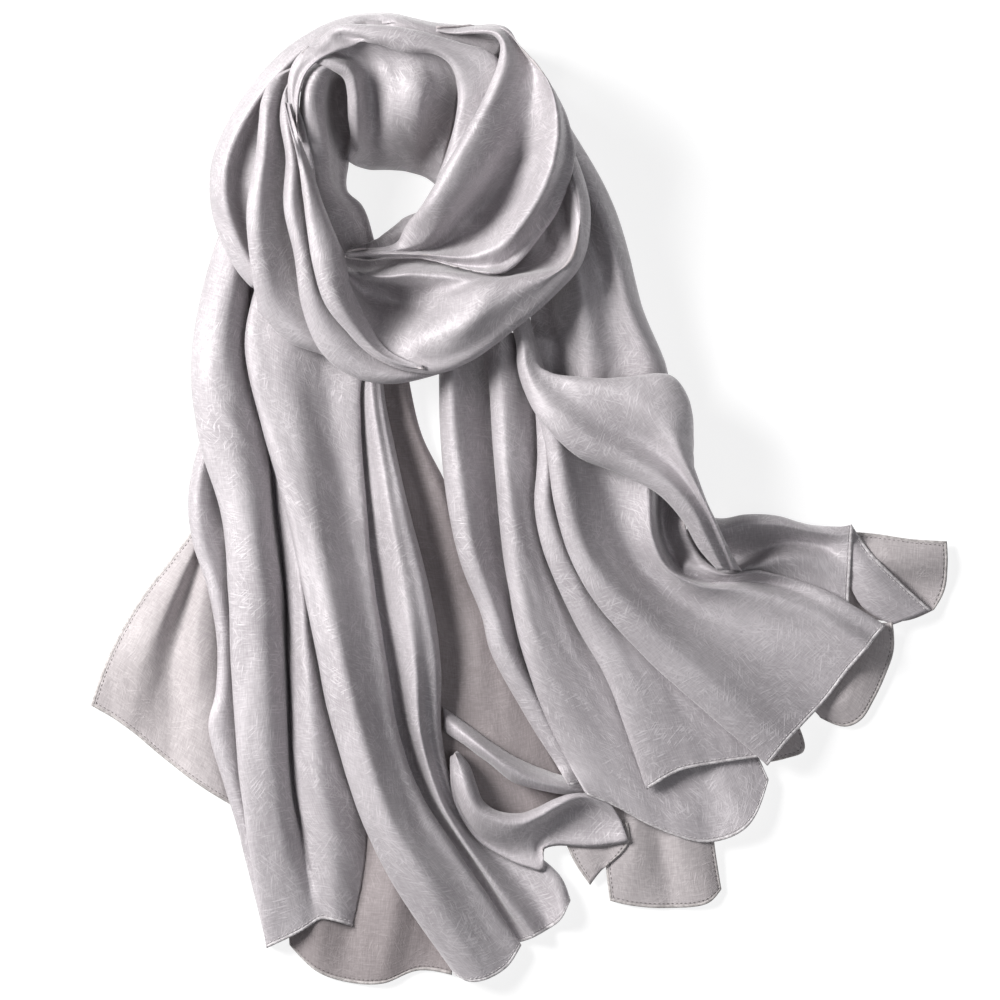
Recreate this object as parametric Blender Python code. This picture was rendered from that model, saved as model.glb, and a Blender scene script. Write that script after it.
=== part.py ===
"""Satin scarf wound once round the neck position and laid flat, metres, +Z up.

Every stretch of cloth that shows is a wall of its own, lofted through the folds
listed in its table. A fold is a row: its name, how it ends, its height above the
surface at the start, middle and end of its run, and its path in plan. Plan sizes and
heights in the tables are in millimetres. The stretches are laid one on another in the
order of the tables, each kept clear of those beneath it.
"""

import bpy
import numpy as np

# Cloth and clearances, in millimetres.
WALL = 1.5
GAP = 0.45
TUCK = 2.5
ROLL_BELLY = 0.42
ROLL_SHOULDER = 0.8
ALONG_STEP = 24.0
ACROSS_STEP = 13.0
CELL = 2.0
SHEET_SPAN = 720.0
CORE_CLEAR = 0.45
CORE_LEAST = 3.0
MM = 0.001

# How a fold's line ends the cloth there.
FREE = "free edge or hidden edge"
ROLL = "edge where the cloth turns under"
BEND = "crest or hollow inside the cloth"

# Colours of the two faces of the cloth and of the pressed layers inside.
SILVER = (0.402, 0.381, 0.392)
PALE = (0.552, 0.509, 0.509)
SHADED = (0.402, 0.366, 0.363)

LOWER_RIGHT_CORNER = (
    ("left hem", FREE, (9, 6, 3), ((64, -222), (61, -250), (64, -281))),
    ("left swell", BEND, (12, 11, 4), ((80, -218), (80, -250), (82, -285))),
    ("fold valley", BEND, (12, 7, 3), ((96, -218), (102, -254), (108, -286))),
    ("fold crest", BEND, (14, 13, 6), ((104, -216), (118, -250), (132, -283))),
    ("right hem", FREE, (12, 8, 4), ((134, -214), (138, -248), (142, -273))),
)
LEFT_CORNER_FLARE = (
    ("upper hem", FREE, (8, 6, 4), (
        (-226, -18), (-245, -43), (-260, -62), (-275, -85), (-290, -115), (-300, -144))),
    ("slack ridge", BEND, (10, 15, 5), (
        (-220, -20), (-238, -55), (-252, -85), (-264, -115), (-272, -140), (-277, -158))),
    ("hollow", BEND, (5, 4, 4), (
        (-214, -22), (-230, -58), (-240, -90), (-245, -120), (-246, -150), (-249, -181))),
    ("tail ridge", BEND, (10, 16, 9), (
        (-207, -24), (-220, -60), (-225, -90), (-224, -120), (-221, -155), (-224, -200))),
    ("hidden side", FREE, (4, 4, 4), (
        (-198, -26), (-200, -60), (-200, -90), (-200, -120), (-197, -160), (-196, -217))),
)
LEFT_TAIL_UNDER = (
    ("left hem", FREE, (5, 5, 4), ((-158, -236), (-162, -276), (-161, -312))),
    ("left swell", BEND, (10, 11, 5), ((-140, -232), (-141, -282), (-141, -331))),
    ("hollow", BEND, (7, 5, 3), ((-116, -228), (-117, -282), (-118, -338.5))),
    ("ridge", BEND, (11, 13, 6), ((-84, -230), (-89, -284), (-95, -339))),
    ("right hollow", BEND, (7, 6, 3), ((-64, -240), (-67, -288), (-71, -330))),
    ("hidden side", FREE, (4, 4, 4), ((-44, -284), (-46, -308), (-47, -333))),
)
RIGHT_FAR_CORNER = (
    ("upper hem", FREE, (9, 8, 6), ((228, -22), (252, -24), (276, -27.5), (300, -29))),
    ("swell", BEND, (10, 15, 8), ((226, -36), (252, -40), (278, -44), (300.5, -46))),
    ("hollow", BEND, (6, 6, 5), ((225, -54), (250, -58), (276, -61), (298.5, -63))),
    ("lower hem", FREE, (4, 5, 6), ((226, -78), (250, -84), (272, -84.5), (291, -77))),
)
RIGHT_FAR_FOLD = (
    ("diagonal hem", FREE, (13, 12, 9), ((233, -17), (247, -37), (264, -54), (289, -77))),
    ("crest", BEND, (15, 17, 11), ((230, -18), (240, -44), (254, -64), (280, -81))),
    ("hidden side", FREE, (14, 13, 10), ((222, -19), (228, -48), (240, -74), (262, -87.5))),
)
RIGHT_REAR_PANEL = (
    ("upper edge", ROLL, (0, 0, 0), (
        (120, -6), (140, -13), (158, -10), (180, -10.5), (205, -17), (234, -19))),
    ("upper crest", BEND, (30, 27, 20), (
        (118, -14), (140, -21), (158, -17), (182, -17), (208, -23), (233.5, -27))),
    ("crease", BEND, (16, 15, 12), (
        (118, -32), (148, -36), (162, -32), (184, -30), (208, -35), (232.5, -43))),
    ("lower swell", BEND, (14, 16, 14), (
        (118, -50), (142, -52), (160, -50), (184, -48), (208, -54), (231.5, -60))),
    ("hidden side", FREE, (12, 13, 12), (
        (122, -68), (145, -70), (162, -68), (186, -70), (208, -76), (231, -86))),
)
RIGHT_UNDERSIDE = (
    ("outer hem", FREE, (7, 5, 5), (
        (262, -86), (263, -105), (257, -123), (249, -140), (240, -154), (229, -159),
        (212, -153))),
    ("swell", BEND, (13, 10, 8), (
        (250, -86), (248, -104), (241, -118), (233, -132), (226, -141), (216, -145),
        (202, -143))),
    ("hidden side", FREE, (9, 6, 5), (
        (236, -84), (228, -98), (220, -110), (211, -121), (204, -128), (197, -132),
        (190, -134))),
)
UNDERSIDE_TIP = (
    ("outer hem", FREE, (6, 5, 5), ((197, -160), (200, -176), (188, -181), (174, -184))),
    ("hidden side", FREE, (9, 9, 9), ((182, -150), (180, -160), (170, -164), (160, -166))),
)
REVERSE_PANEL = (
    ("hidden left side", FREE, (14, 6, 5), (
        (-104, 96), (-101, 52), (-93, 8), (-84, -40), (-74, -90), (-70, -130),
        (-66, -176))),
    ("left hollow", BEND, (16, 7, 5), (
        (-94, 96), (-86, 52), (-74, 12), (-64, -34), (-54, -84), (-50, -126),
        (-48, -176))),
    ("long swell", BEND, (18, 13, 11), (
        (-86, 96), (-76, 56), (-62, 18), (-48, -28), (-36, -78), (-26, -122),
        (-16, -180))),
    ("hidden right side", FREE, (12, 6, 5), (
        (-79, 96), (-68, 46), (-52, 13), (-32, -30), (-14, -76), (2, -118),
        (24, -186))),
)
LOWER_MIDDLE_CORNER = (
    ("left edge", FREE, (8, 7, 5), ((30, -232), (38, -252), (50, -270))),
    ("swell", BEND, (10, 10, 7), ((52, -228), (54, -246), (56, -262))),
    ("right hem", FREE, (7, 7, 6), ((76, -226), (77, -240), (62, -256))),
)
LOWER_MIDDLE_FOLD = (
    ("hidden upper side", FREE, (6, 6, 6), (
        (-52, -150), (-24, -152), (2, -168), (30, -180), (58, -194), (82, -214))),
    ("upper ridge", BEND, (20, 24, 17), (
        (-52, -160), (-30, -171), (-10, -186), (14, -196), (50, -206), (78, -230))),
    ("hollow", BEND, (10, 9, 10), (
        (-51, -176), (-34, -196), (-12, -208), (12, -210), (44, -215), (76, -236))),
    ("lower ridge", BEND, (21, 27, 18), (
        (-50, -188), (-38, -212), (-14, -230), (12, -232), (42, -228), (74, -240))),
    ("lower edge", ROLL, (0, 0, 0), (
        (-56, -194), (-45, -220), (-20, -242), (14, -247), (42, -243), (73, -244))),
)
LEFT_SIDE_FOLD = (
    ("outer edge", ROLL, (0, 0, 0), (
        (-222, 46), (-232, 5), (-229, -28), (-218, -62), (-212, -100), (-213, -135),
        (-218, -158), (-208, -197), (-197, -233), (-186, -275), (-177, -313))),
    ("crest", BEND, (24, 20, 13), (
        (-216, 46), (-224, 5), (-221, -28), (-211, -62), (-206, -100), (-206, -135),
        (-209, -160), (-201, -197), (-190, -233), (-179, -275), (-171, -310))),
    ("hidden side", FREE, (8, 7, 5), (
        (-204, 46), (-207, 5), (-203, -28), (-196, -62), (-194, -100), (-192, -135),
        (-190, -160), (-185, -197), (-178, -233), (-170, -272), (-160, -304))),
)
LEFT_TAIL_OUTER = (
    ("outer edge", ROLL, (0, 0, 0), (
        (-207, 196), (-219, 160), (-229, 110), (-229, 70), (-221, 30), (-209, -8),
        (-204, -60), (-201, -125), (-196, -195), (-188, -250), (-177, -314))),
    ("outer crest", BEND, (32, 38, 14), (
        (-198, 192), (-208, 156), (-216, 110), (-215, 70), (-206, 28), (-197, -12),
        (-190, -62), (-185, -125), (-178, -195), (-170, -250), (-160, -306))),
    ("valley", BEND, (18, 16, 7), (
        (-188, 186), (-193, 140), (-192, 104), (-184, 68), (-177, 28), (-173, -12),
        (-167, -62), (-163, -125), (-160, -195), (-152, -245), (-139, -294))),
    ("second crest", BEND, (24, 35, 14), (
        (-178, 180), (-181, 138), (-179, 102), (-173, 68), (-166, 28), (-161, -12),
        (-154, -62), (-148, -125), (-141, -195), (-136, -245), (-128, -296))),
    ("inner side", FREE, (12, 12, 7), (
        (-160, 176), (-163, 136), (-161, 100), (-156, 66), (-152, 28), (-146, -12),
        (-136, -62), (-125, -125), (-110, -195), (-106, -240), (-117, -298))),
)
LEFT_TAIL_FRONT = (
    ("main fold edge", ROLL, (0, 0, 0), (
        (-184, 151), (-192, 110), (-180, 50), (-166, 2), (-154, -50), (-143, -104),
        (-130, -162), (-112, -220), (-88, -270), (-45, -331))),
    ("main fold shoulder", BEND, (36, 44, 16), (
        (-168, 143), (-175, 104), (-166, 50), (-154, 2), (-142, -50), (-131, -104),
        (-117, -162), (-98, -220), (-72, -270), (-34, -336))),
    ("main fold crest", BEND, (40, 44, 16), (
        (-142, 128), (-149, 94), (-142, 48), (-133, 0), (-124, -50), (-115, -104),
        (-102, -162), (-82, -222), (-54, -274), (-16, -332))),
    ("main fold side", BEND, (26, 22, 10), (
        (-116, 108), (-115, 82), (-112, 40), (-110, -4), (-104, -52), (-97, -108),
        (-88, -164), (-68, -216), (-38, -262), (3, -314))),
    ("inner fold crest", BEND, (30, 38, 14), (
        (-104, 102), (-102, 76), (-97, 36), (-91, -8), (-83, -56), (-76, -108),
        (-70, -164), (-52, -210), (-20, -256), (22, -300))),
    ("inner fold edge", ROLL, (0, 0, 0), (
        (-96, 98), (-93, 72), (-85, 32), (-75, -10), (-63, -60), (-54, -112),
        (-53, -170), (-42, -210), (-8, -250), (35, -278))),
)
RIGHT_TAIL_OUTER = (
    ("outer edge", ROLL, (0, 0, 0), (
        (-56, 108), (-56, 62), (-53.5, 25), (-48, -15), (-41, -45), (-27, -80),
        (-21, -105), (2, -147), (35, -200))),
    ("crest", BEND, (44, 34, 16), (
        (-46, 108), (-46, 62), (-42, 25), (-36, -15), (-29, -45), (-16, -80),
        (-8, -106), (14, -146), (45, -198))),
    ("hollow", BEND, (24, 16, 10), (
        (-28, 108), (-26, 62), (-23, 25), (-18, -15), (-13, -45), (-2, -80),
        (6, -106), (26, -142), (56, -192))),
    ("hidden side", FREE, (14, 10, 7), (
        (-16, 108), (-12, 62), (-9, 25), (-4, -15), (1, -45), (10, -80),
        (18, -106), (38, -138), (68, -186))),
)
RIGHT_TAIL_MIDDLE = (
    ("edge", ROLL, (0, 0, 0), (
        (-23, 118), (-21, 80), (-17, 20), (-11, -40), (-2, -90), (10, -130),
        (27, -170), (47, -206))),
    ("crest", BEND, (50, 42, 20), (
        (-14, 118), (-12, 80), (-8, 20), (-1, -40), (8, -90), (21, -128),
        (40, -168), (66, -214))),
    ("slope", BEND, (42, 33, 16), (
        (2, 116), (4, 80), (6, 20), (14, -42), (28, -90), (44, -128),
        (68, -170), (96, -230))),
    ("hollow", BEND, (28, 20, 10), (
        (14, 112), (18, 78), (22, 20), (32, -44), (52, -92), (74, -130),
        (104, -172), (132, -240))),
    ("lobe crest", BEND, (26, 20, 15), (
        (24, 108), (32, 76), (38, 18), (50, -46), (74, -92), (100, -128),
        (134, -168), (160, -229))),
    ("lobe edge", FREE, (20, 14, 10), (
        (32, 104), (44, 74), (52, 16), (66, -48), (92, -92), (122, -126),
        (156, -160), (175, -196))),
)
RIGHT_TAIL_INNER = (
    ("edge", ROLL, (0, 0, 0), (
        (10, 74), (13, 30), (11, -6), (17, -36), (36, -80), (60, -124), (77, -168),
        (89, -203))),
    ("crest", BEND, (52, 46, 24), (
        (17, 74), (20, 30), (20, -6), (28, -36), (50, -80), (78, -122), (98, -162),
        (112, -190))),
    ("slope", BEND, (44, 36, 20), (
        (28, 74), (30, 30), (32, -6), (42, -36), (68, -80), (100, -118), (124, -152),
        (142, -184))),
    ("hidden side", FREE, (34, 26, 16), (
        (44, 74), (46, 30), (50, -6), (62, -36), (92, -78), (126, -112), (150, -144),
        (170, -180))),
)
RIGHT_FRONT_PANEL = (
    ("fold edge", ROLL, (0, 0, 0), (
        (13, 62), (19, 34), (25, -4), (35, -40), (56, -75), (90, -112), (130, -148),
        (174, -186))),
    ("fold crest", BEND, (62, 54, 24), (
        (24, 62), (30, 34), (37, -2), (49, -36), (72, -68), (106, -100), (146, -132),
        (190, -167))),
    ("broad slope", BEND, (56, 46, 20), (
        (46, 58), (52, 32), (60, 0), (74, -32), (98, -60), (132, -86), (172, -112),
        (212, -142))),
    ("soft hollow", BEND, (44, 34, 17), (
        (74, 54), (80, 30), (86, 0), (98, -32), (120, -58), (150, -76), (190, -94),
        (232, -118))),
    ("upper crest", BEND, (40, 36, 22), (
        (100, 50), (104, 28), (106, 0), (112, -30), (132, -56), (162, -61),
        (202, -72), (246, -102))),
    ("upper edge", ROLL, (10, 8, 4), (
        (116, 46), (114, 26), (114, 2), (120, -30), (140, -52), (168, -49),
        (210, -62), (257, -88))),
)
RIGHT_SHOULDER = (
    ("outer edge", ROLL, (0, 0, 0), (
        (-12, 320), (14, 293), (40, 255), (62, 216), (77, 172), (86, 136), (104, 88),
        (108, 66))),
    ("outer crest", BEND, (46, 52, 54), (
        (-16, 312), (8, 286), (32, 248), (52, 210), (66, 168), (74, 132), (88, 90),
        (90, 66))),
    ("crease", BEND, (40, 38, 44), (
        (-22, 300), (0, 274), (20, 238), (38, 200), (50, 162), (54, 130), (64, 92),
        (66, 66))),
    ("inner crest", BEND, (44, 46, 56), (
        (-26, 290), (-8, 264), (10, 228), (26, 190), (34, 154), (36, 126), (42, 94),
        (44, 66))),
    ("panel hollow", BEND, (36, 34, 40), (
        (-30, 282), (-14, 254), (0, 218), (12, 182), (16, 150), (18, 118), (26, 96),
        (27, 66))),
    ("drop fold crest", BEND, (36, 36, 50), (
        (-34, 276), (-20, 246), (-10, 212), (0, 176), (4, 144), (8, 118), (8, 98),
        (8, 66))),
    ("drop fold edge", FREE, (26, 24, 34), (
        (-38, 270), (-26, 240), (-20, 206), (-12, 170), (-8, 140), (-2, 114), (0, 98),
        (-3, 66))),
)
TWISTED_FLAP = (
    ("lower edge", ROLL, (40, 44, 26), (
        (-2, 92), (4, 73), (17, 52), (40, 31), (70, 18), (97, 4), (114, -14),
        (126, -34), (139, -48))),
    ("lower crest", BEND, (78, 72, 48), (
        (6, 96), (14, 80), (29, 62), (50, 44), (77, 31), (103, 17), (122, -4),
        (134, -26), (146, -48))),
    ("middle hollow", BEND, (66, 62, 44), (
        (16, 100), (32, 88), (50, 74), (68, 60), (90, 48), (111, 32), (126, 8),
        (138, -18), (150, -48))),
    ("upper crest", BEND, (70, 70, 44), (
        (26, 104), (48, 94), (70, 84), (88, 74), (106, 62), (116, 42), (125, 14),
        (137, -14), (153, -48))),
    ("upper edge", ROLL, (34, 38, 26), (
        (36, 108), (60, 100), (85, 92), (106, 86), (119, 74), (122, 46), (122, 14),
        (138, -20), (156, -49))),
)
BACK_OF_NECK = (
    ("hidden outer side", FREE, (50, 60, 46), (
        (-152, 262), (-148, 296), (-126, 322), (-86, 326), (-46, 318), (-32, 290),
        (-36, 256), (-46, 224))),
    ("upper slope", BEND, (48, 62, 46), (
        (-136, 254), (-132, 282), (-114, 302), (-86, 305), (-60, 298), (-50, 276),
        (-50, 250), (-52, 223))),
    ("lower slope", BEND, (36, 50, 36), (
        (-128, 240), (-124, 258), (-110, 270), (-88, 272), (-68, 266), (-60, 252),
        (-57, 238), (-56, 222))),
    ("neck edge", ROLL, (4, 6, 4), (
        (-121, 224), (-117, 229), (-107, 231.5), (-92, 231.5), (-80, 230.5),
        (-70, 228), (-62, 225), (-57, 220))),
)
LOOP_OUTER_BAND = (
    ("outer edge", ROLL, (0, 0, 0), (
        (-12, 328), (-60, 335), (-100, 341.5), (-140, 331), (-175, 305), (-203, 266),
        (-216, 232), (-214, 198), (-200, 164), (-187, 148))),
    ("crest", BEND, (54, 56, 54), (
        (-16, 319), (-60, 327), (-100, 333), (-135, 323), (-166, 297), (-193, 260),
        (-204, 230), (-202, 200), (-190, 172), (-176, 152))),
    ("hidden side", FREE, (46, 46, 44), (
        (-22, 306), (-60, 314), (-100, 319), (-128, 310), (-154, 286), (-176, 252),
        (-184, 228), (-182, 200), (-174, 178), (-160, 160))),
)
INNER_NECK_FOLD = (
    ("hidden outer side", FREE, (56, 52, 46), (
        (-160, 300), (-164, 268), (-158, 238), (-148, 208), (-138, 186), (-128, 164))),
    ("arch crest", BEND, (74, 68, 58), (
        (-145, 306), (-150, 272), (-144, 240), (-136, 212), (-128, 190), (-118, 170))),
    ("inner slope", BEND, (62, 54, 48), (
        (-132, 308), (-133, 276), (-130, 246), (-124, 220), (-116, 198), (-108, 176))),
    ("neck edge", ROLL, (12, 8, 20), (
        (-121, 300), (-120, 268), (-121, 240), (-119, 216), (-109, 203), (-100, 182))),
)
LOOP_RIDGE = (
    ("outer edge", ROLL, (48, 50, 50), (
        (-164, 278), (-159, 304), (-135, 326), (-100, 331.5), (-60, 326), (-24, 314),
        (-14, 292), (-24, 262), (-44, 228))),
    ("outer crest", BEND, (78, 80, 76), (
        (-160, 280), (-154, 301), (-132, 321), (-100, 326), (-62, 321), (-30, 310),
        (-22, 290), (-30, 262), (-48, 227))),
    ("inner crest", BEND, (80, 78, 74), (
        (-156, 282), (-150, 299), (-129, 318), (-100, 323), (-64, 317), (-38, 306),
        (-32, 284), (-38, 260), (-52, 226))),
    ("inner edge", ROLL, (50, 50, 46), (
        (-149, 284), (-145, 300), (-125, 313), (-100, 316), (-66, 310), (-48, 303),
        (-43, 278), (-47, 250), (-58, 222))),
)
FAN_OUTER_FOLD = (
    ("left edge", ROLL, (44, 38, 30), (
        (-158, 303), (-176, 290), (-182, 262), (-184, 240), (-190, 205), (-188, 170),
        (-180, 132), (-162, 111), (-137, 101))),
    ("crest", BEND, (80, 70, 62), (
        (-156, 298), (-170, 284), (-175, 260), (-176, 238), (-179, 206), (-175, 174),
        (-167, 142), (-152, 122), (-130, 108))),
    ("hidden side", FREE, (62, 56, 50), (
        (-152, 292), (-159, 278), (-159, 256), (-157, 236), (-157, 208), (-152, 180),
        (-146, 154), (-134, 136), (-116, 120))),
)
FAN_MIDDLE_FOLD = (
    ("left edge", ROLL, (50, 44, 34), (
        (-163, 296), (-165, 268), (-163, 236), (-164, 205), (-157, 172), (-152, 134),
        (-139, 103), (-118, 86), (-90, 80), (-45, 91))),
    ("crest", BEND, (84, 78, 66), (
        (-160, 296), (-160, 268), (-156, 236), (-155, 205), (-149, 174), (-142, 140),
        (-128, 114), (-111, 98), (-87, 88), (-46, 97))),
    ("hidden side", FREE, (72, 64, 54), (
        (-154, 294), (-149, 266), (-142, 236), (-139, 205), (-134, 178), (-126, 150),
        (-113, 128), (-98, 112), (-80, 102), (-46, 106))),
)
FRONT_SWAG = (
    ("lower edge", ROLL, (48, 46, 46), (
        (-134, 150), (-120, 121), (-95, 96), (-62, 88.5), (-36, 95), (-4, 118),
        (26, 143), (45, 168), (50, 200), (40, 240))),
    ("lower crest", BEND, (72, 92, 76), (
        (-128, 154), (-113, 128), (-90, 107), (-60, 103), (-36, 111), (-8, 131),
        (16, 153), (33, 174), (37, 202), (30, 238))),
    ("dark hollow", BEND, (60, 74, 76), (
        (-122, 160), (-108, 141), (-86, 131), (-60, 127), (-38, 132), (-16, 146),
        (4, 164), (20, 182), (24, 206), (20, 236))),
    ("upper ridge", BEND, (76, 84, 70), (
        (-120, 167), (-106, 159), (-82, 156), (-60, 152), (-40, 150), (-22, 158),
        (-6, 173), (8, 190), (12, 210), (10, 234))),
    ("hidden side", FREE, (60, 70, 62), (
        (-116, 174), (-102, 177), (-80, 177), (-60, 175), (-42, 174), (-26, 178),
        (-14, 190), (-4, 204), (-2, 216), (-2, 232))),
)
FAN_INNER_FOLD = (
    ("left edge", ROLL, (56, 54, 50), (
        (-163, 292), (-158, 254), (-150, 212), (-147, 180), (-140, 150), (-128, 127),
        (-108, 105), (-80, 91))),
    ("crest", BEND, (90, 88, 88), (
        (-160, 292), (-154, 256), (-145, 214), (-140, 184), (-132, 156), (-121, 135),
        (-102, 115), (-76, 98))),
    ("right edge", ROLL, (56, 54, 60), (
        (-157, 292), (-149, 258), (-139, 217), (-131, 189), (-121, 166), (-114, 140),
        (-97, 122), (-72, 105))),
)
RIGHT_BAND = (
    ("inner edge", ROLL, (56, 60, 46), (
        (-11, 328), (-15, 303), (-25, 280), (-37, 258), (-48, 240), (-60, 219),
        (-70, 201), (-78, 186))),
    ("inner crest", BEND, (68, 96, 88), (
        (-5, 325), (-4, 302), (-13, 278), (-24, 256), (-36, 236), (-48, 216),
        (-61, 197), (-76, 182))),
    ("valley", BEND, (62, 84, 84), (
        (0, 320), (9, 298), (6, 272), (-1, 248), (-12, 226), (-28, 203), (-48, 186),
        (-73, 178))),
    ("ridge", BEND, (62, 98, 86), (
        (3, 314), (20, 290), (26, 264), (25, 240), (14, 216), (-4, 190), (-32, 172),
        (-70, 174))),
    ("outer edge", ROLL, (50, 50, 60), (
        (4, 307), (28, 280), (38, 252), (38, 232), (28, 203), (8, 174), (-22, 158),
        (-66, 170))),
)

# Name of the stretch, its material and its folds, from the surface upwards.
STRETCHES = (
    ("lower_right_corner", "reverse", LOWER_RIGHT_CORNER),
    ("left_corner_flare", "reverse", LEFT_CORNER_FLARE),
    ("left_tail_under", "reverse", LEFT_TAIL_UNDER),
    ("right_far_corner", "reverse", RIGHT_FAR_CORNER),
    ("right_far_fold", "face", RIGHT_FAR_FOLD),
    ("right_rear_panel", "face", RIGHT_REAR_PANEL),
    ("right_underside", "reverse", RIGHT_UNDERSIDE),
    ("underside_tip", "reverse", UNDERSIDE_TIP),
    ("reverse_panel", "shaded", REVERSE_PANEL),
    ("lower_middle_corner", "reverse", LOWER_MIDDLE_CORNER),
    ("lower_middle_fold", "face", LOWER_MIDDLE_FOLD),
    ("left_side_fold", "face", LEFT_SIDE_FOLD),
    ("left_tail_outer", "face", LEFT_TAIL_OUTER),
    ("left_tail_front", "face", LEFT_TAIL_FRONT),
    ("right_tail_outer", "face", RIGHT_TAIL_OUTER),
    ("right_tail_middle", "face", RIGHT_TAIL_MIDDLE),
    ("right_tail_inner", "face", RIGHT_TAIL_INNER),
    ("right_front_panel", "face", RIGHT_FRONT_PANEL),
    ("right_shoulder", "face", RIGHT_SHOULDER),
    ("twisted_flap", "face", TWISTED_FLAP),
    ("back_of_neck", "face", BACK_OF_NECK),
    ("loop_outer_band", "face", LOOP_OUTER_BAND),
    ("inner_neck_fold", "face", INNER_NECK_FOLD),
    ("loop_ridge", "face", LOOP_RIDGE),
    ("fan_outer_fold", "face", FAN_OUTER_FOLD),
    ("fan_middle_fold", "face", FAN_MIDDLE_FOLD),
    ("front_swag", "face", FRONT_SWAG),
    ("fan_inner_fold", "face", FAN_INNER_FOLD),
    ("right_band", "face", RIGHT_BAND),
)

# The pressed layers that nobody sees, a row for each: name and its two sides in plan.
CORES = (
    ("hidden_loop_layers", (
        (-134, 168), (-146, 196), (-160, 232), (-160, 262), (-140, 292), (-104, 306),
        (-66, 304), (-34, 290), (-14, 264), (0, 232), (2, 200), (-12, 172), (-44, 146),
        (-84, 130), (-118, 144), (-134, 168)), (
        (-128, 188), (-131, 208), (-132, 226), (-131, 240), (-122, 248), (-106, 250),
        (-84, 250), (-62, 244), (-46, 232), (-42, 220), (-46, 204), (-58, 186),
        (-76, 174), (-98, 166), (-116, 170), (-128, 188))),
    ("hidden_left_layers", (
        (-206, 96), (-204, 50), (-193, 0), (-184, -60), (-178, -120), (-168, -180),
        (-150, -236)), (
        (-122, 90), (-122, 44), (-116, -4), (-108, -64), (-98, -124), (-90, -176),
        (-74, -226))),
    ("hidden_right_layers", (
        (-40, 84), (-38, 40), (-30, -6), (-16, -50), (4, -92), (30, -130), (58, -164)), (
        (72, 40), (80, 14), (88, -14), (100, -50), (120, -78), (144, -100),
        (168, -124))),
)


def clear_scene():
    for old in list(bpy.data.objects):
        bpy.data.objects.remove(old)


def cloth_material(name, colour, roughness):
    material = bpy.data.materials.new(name)
    material.use_nodes = True
    shader = material.node_tree.nodes["Principled BSDF"]
    shader.inputs["Base Color"].default_value = (*colour, 1.0)
    shader.inputs["Roughness"].default_value = roughness
    shader.inputs["Metallic"].default_value = 0.0
    return material


def spline(points, wanted):
    """Smooth curve through the points, read at the wanted shares of their parameter."""
    points = np.asarray(points, float)
    if len(points) == 2:
        share = np.asarray(wanted)[:, None]
        return points[0] * (1 - share) + points[1] * share
    steps = np.sqrt(np.maximum(np.linalg.norm(np.diff(points, axis=0), axis=1), 1e-6))
    knots = np.concatenate([[0], np.cumsum(steps)])
    slopes = np.diff(points, axis=0) / steps[:, None]
    tangents = np.empty_like(points)
    weight = (steps[1:] / (steps[1:] + steps[:-1]))[:, None]
    tangents[1:-1] = slopes[:-1] * weight + slopes[1:] * (1 - weight)
    tangents[0] = slopes[0] * 1.5 - tangents[1] * 0.5
    tangents[-1] = slopes[-1] * 1.5 - tangents[-2] * 0.5
    at = np.clip(np.asarray(wanted), 0, 1) * knots[-1]
    left = np.clip(np.searchsorted(knots, at, side="right") - 1, 0, len(steps) - 1)
    span = steps[left][:, None]
    part = ((at - knots[left]) / steps[left])[:, None]
    return (
        points[left] * (2 * part**3 - 3 * part**2 + 1)
        + tangents[left] * span * (part**3 - 2 * part**2 + part)
        + points[left + 1] * (3 * part**2 - 2 * part**3)
        + tangents[left + 1] * span * (part**3 - part**2)
    )


def even_curve(path, count):
    """The path's curve read at places that lie the same length apart."""
    fine = spline(path, np.linspace(0, 1, 300))
    run = np.concatenate([[0], np.cumsum(np.linalg.norm(np.diff(fine, axis=0), axis=1))])
    places = np.linspace(0, run[-1], count)
    return np.stack([np.interp(places, run, fine[:, i]) for i in range(fine.shape[1])], 1)


def run_length(path):
    fine = spline(path, np.linspace(0, 1, 100))
    return float(np.linalg.norm(np.diff(fine, axis=0), axis=1).sum())


class Pile:
    """Greatest height of the cloth laid so far, on square cells."""

    def __init__(self):
        self.cells = int(SHEET_SPAN / CELL)
        self.height = np.full((self.cells, self.cells), -GAP)

    def index(self, plan):
        place = np.round((plan + SHEET_SPAN / 2) / CELL).astype(int)
        return np.clip(place, 0, self.cells - 1)

    def at(self, plan):
        place = self.index(plan)
        return self.height[place[:, 0], place[:, 1]]

    def add(self, points):
        place = self.index(points[:, :2])
        np.maximum.at(self.height, (place[:, 0], place[:, 1]), points[:, 2])
        for move in ((1, 0), (-1, 0), (0, 1), (0, -1)):
            near = np.clip(place + move, 0, self.cells - 1)
            np.maximum.at(self.height, (near[:, 0], near[:, 1]), points[:, 2])


def weights_inside(steps):
    """Shares of a triangle's three corners at an even net of places in it."""
    rows = []
    for i in range(steps + 1):
        for j in range(steps + 1 - i):
            rows.append((i / steps, j / steps, (steps - i - j) / steps))
    return np.array(rows)


def fold_net(folds, pile):
    """Rows of points, one for each fold line, with the turned-under edges added."""
    count = max(3, round(max(run_length(path) for *_, path in folds) / ALONG_STEP) + 1)
    share = np.linspace(0, 1, count)
    lines = []
    for _, _, heights, path in folds:
        plan = even_curve(np.array(path, float), count)
        rise = np.interp(share, (0, 0.5, 1), heights)
        lines.append(np.column_stack([plan, rise]))
    first_rolls = folds[0][1] == ROLL
    last_rolls = folds[-1][1] == ROLL
    rows = list(lines)
    if first_rolls:
        rows = rolled_edge(lines[0], lines[1], pile) + rows[1:]
    if last_rolls:
        rows = rows[:-1] + rolled_edge(lines[-1], lines[-2], pile)[::-1]
    return np.array(rows)


def eased(heights):
    """Heights along an edge with its sudden drops filled and rounded."""
    padded = np.pad(heights, 1, mode="edge")
    filled = np.maximum(heights, (padded[:-2] + padded[2:]) / 2)
    padded = np.pad(filled, 1, mode="edge")
    return (padded[:-2] + 2 * padded[1:-1] + padded[2:]) / 4


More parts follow.
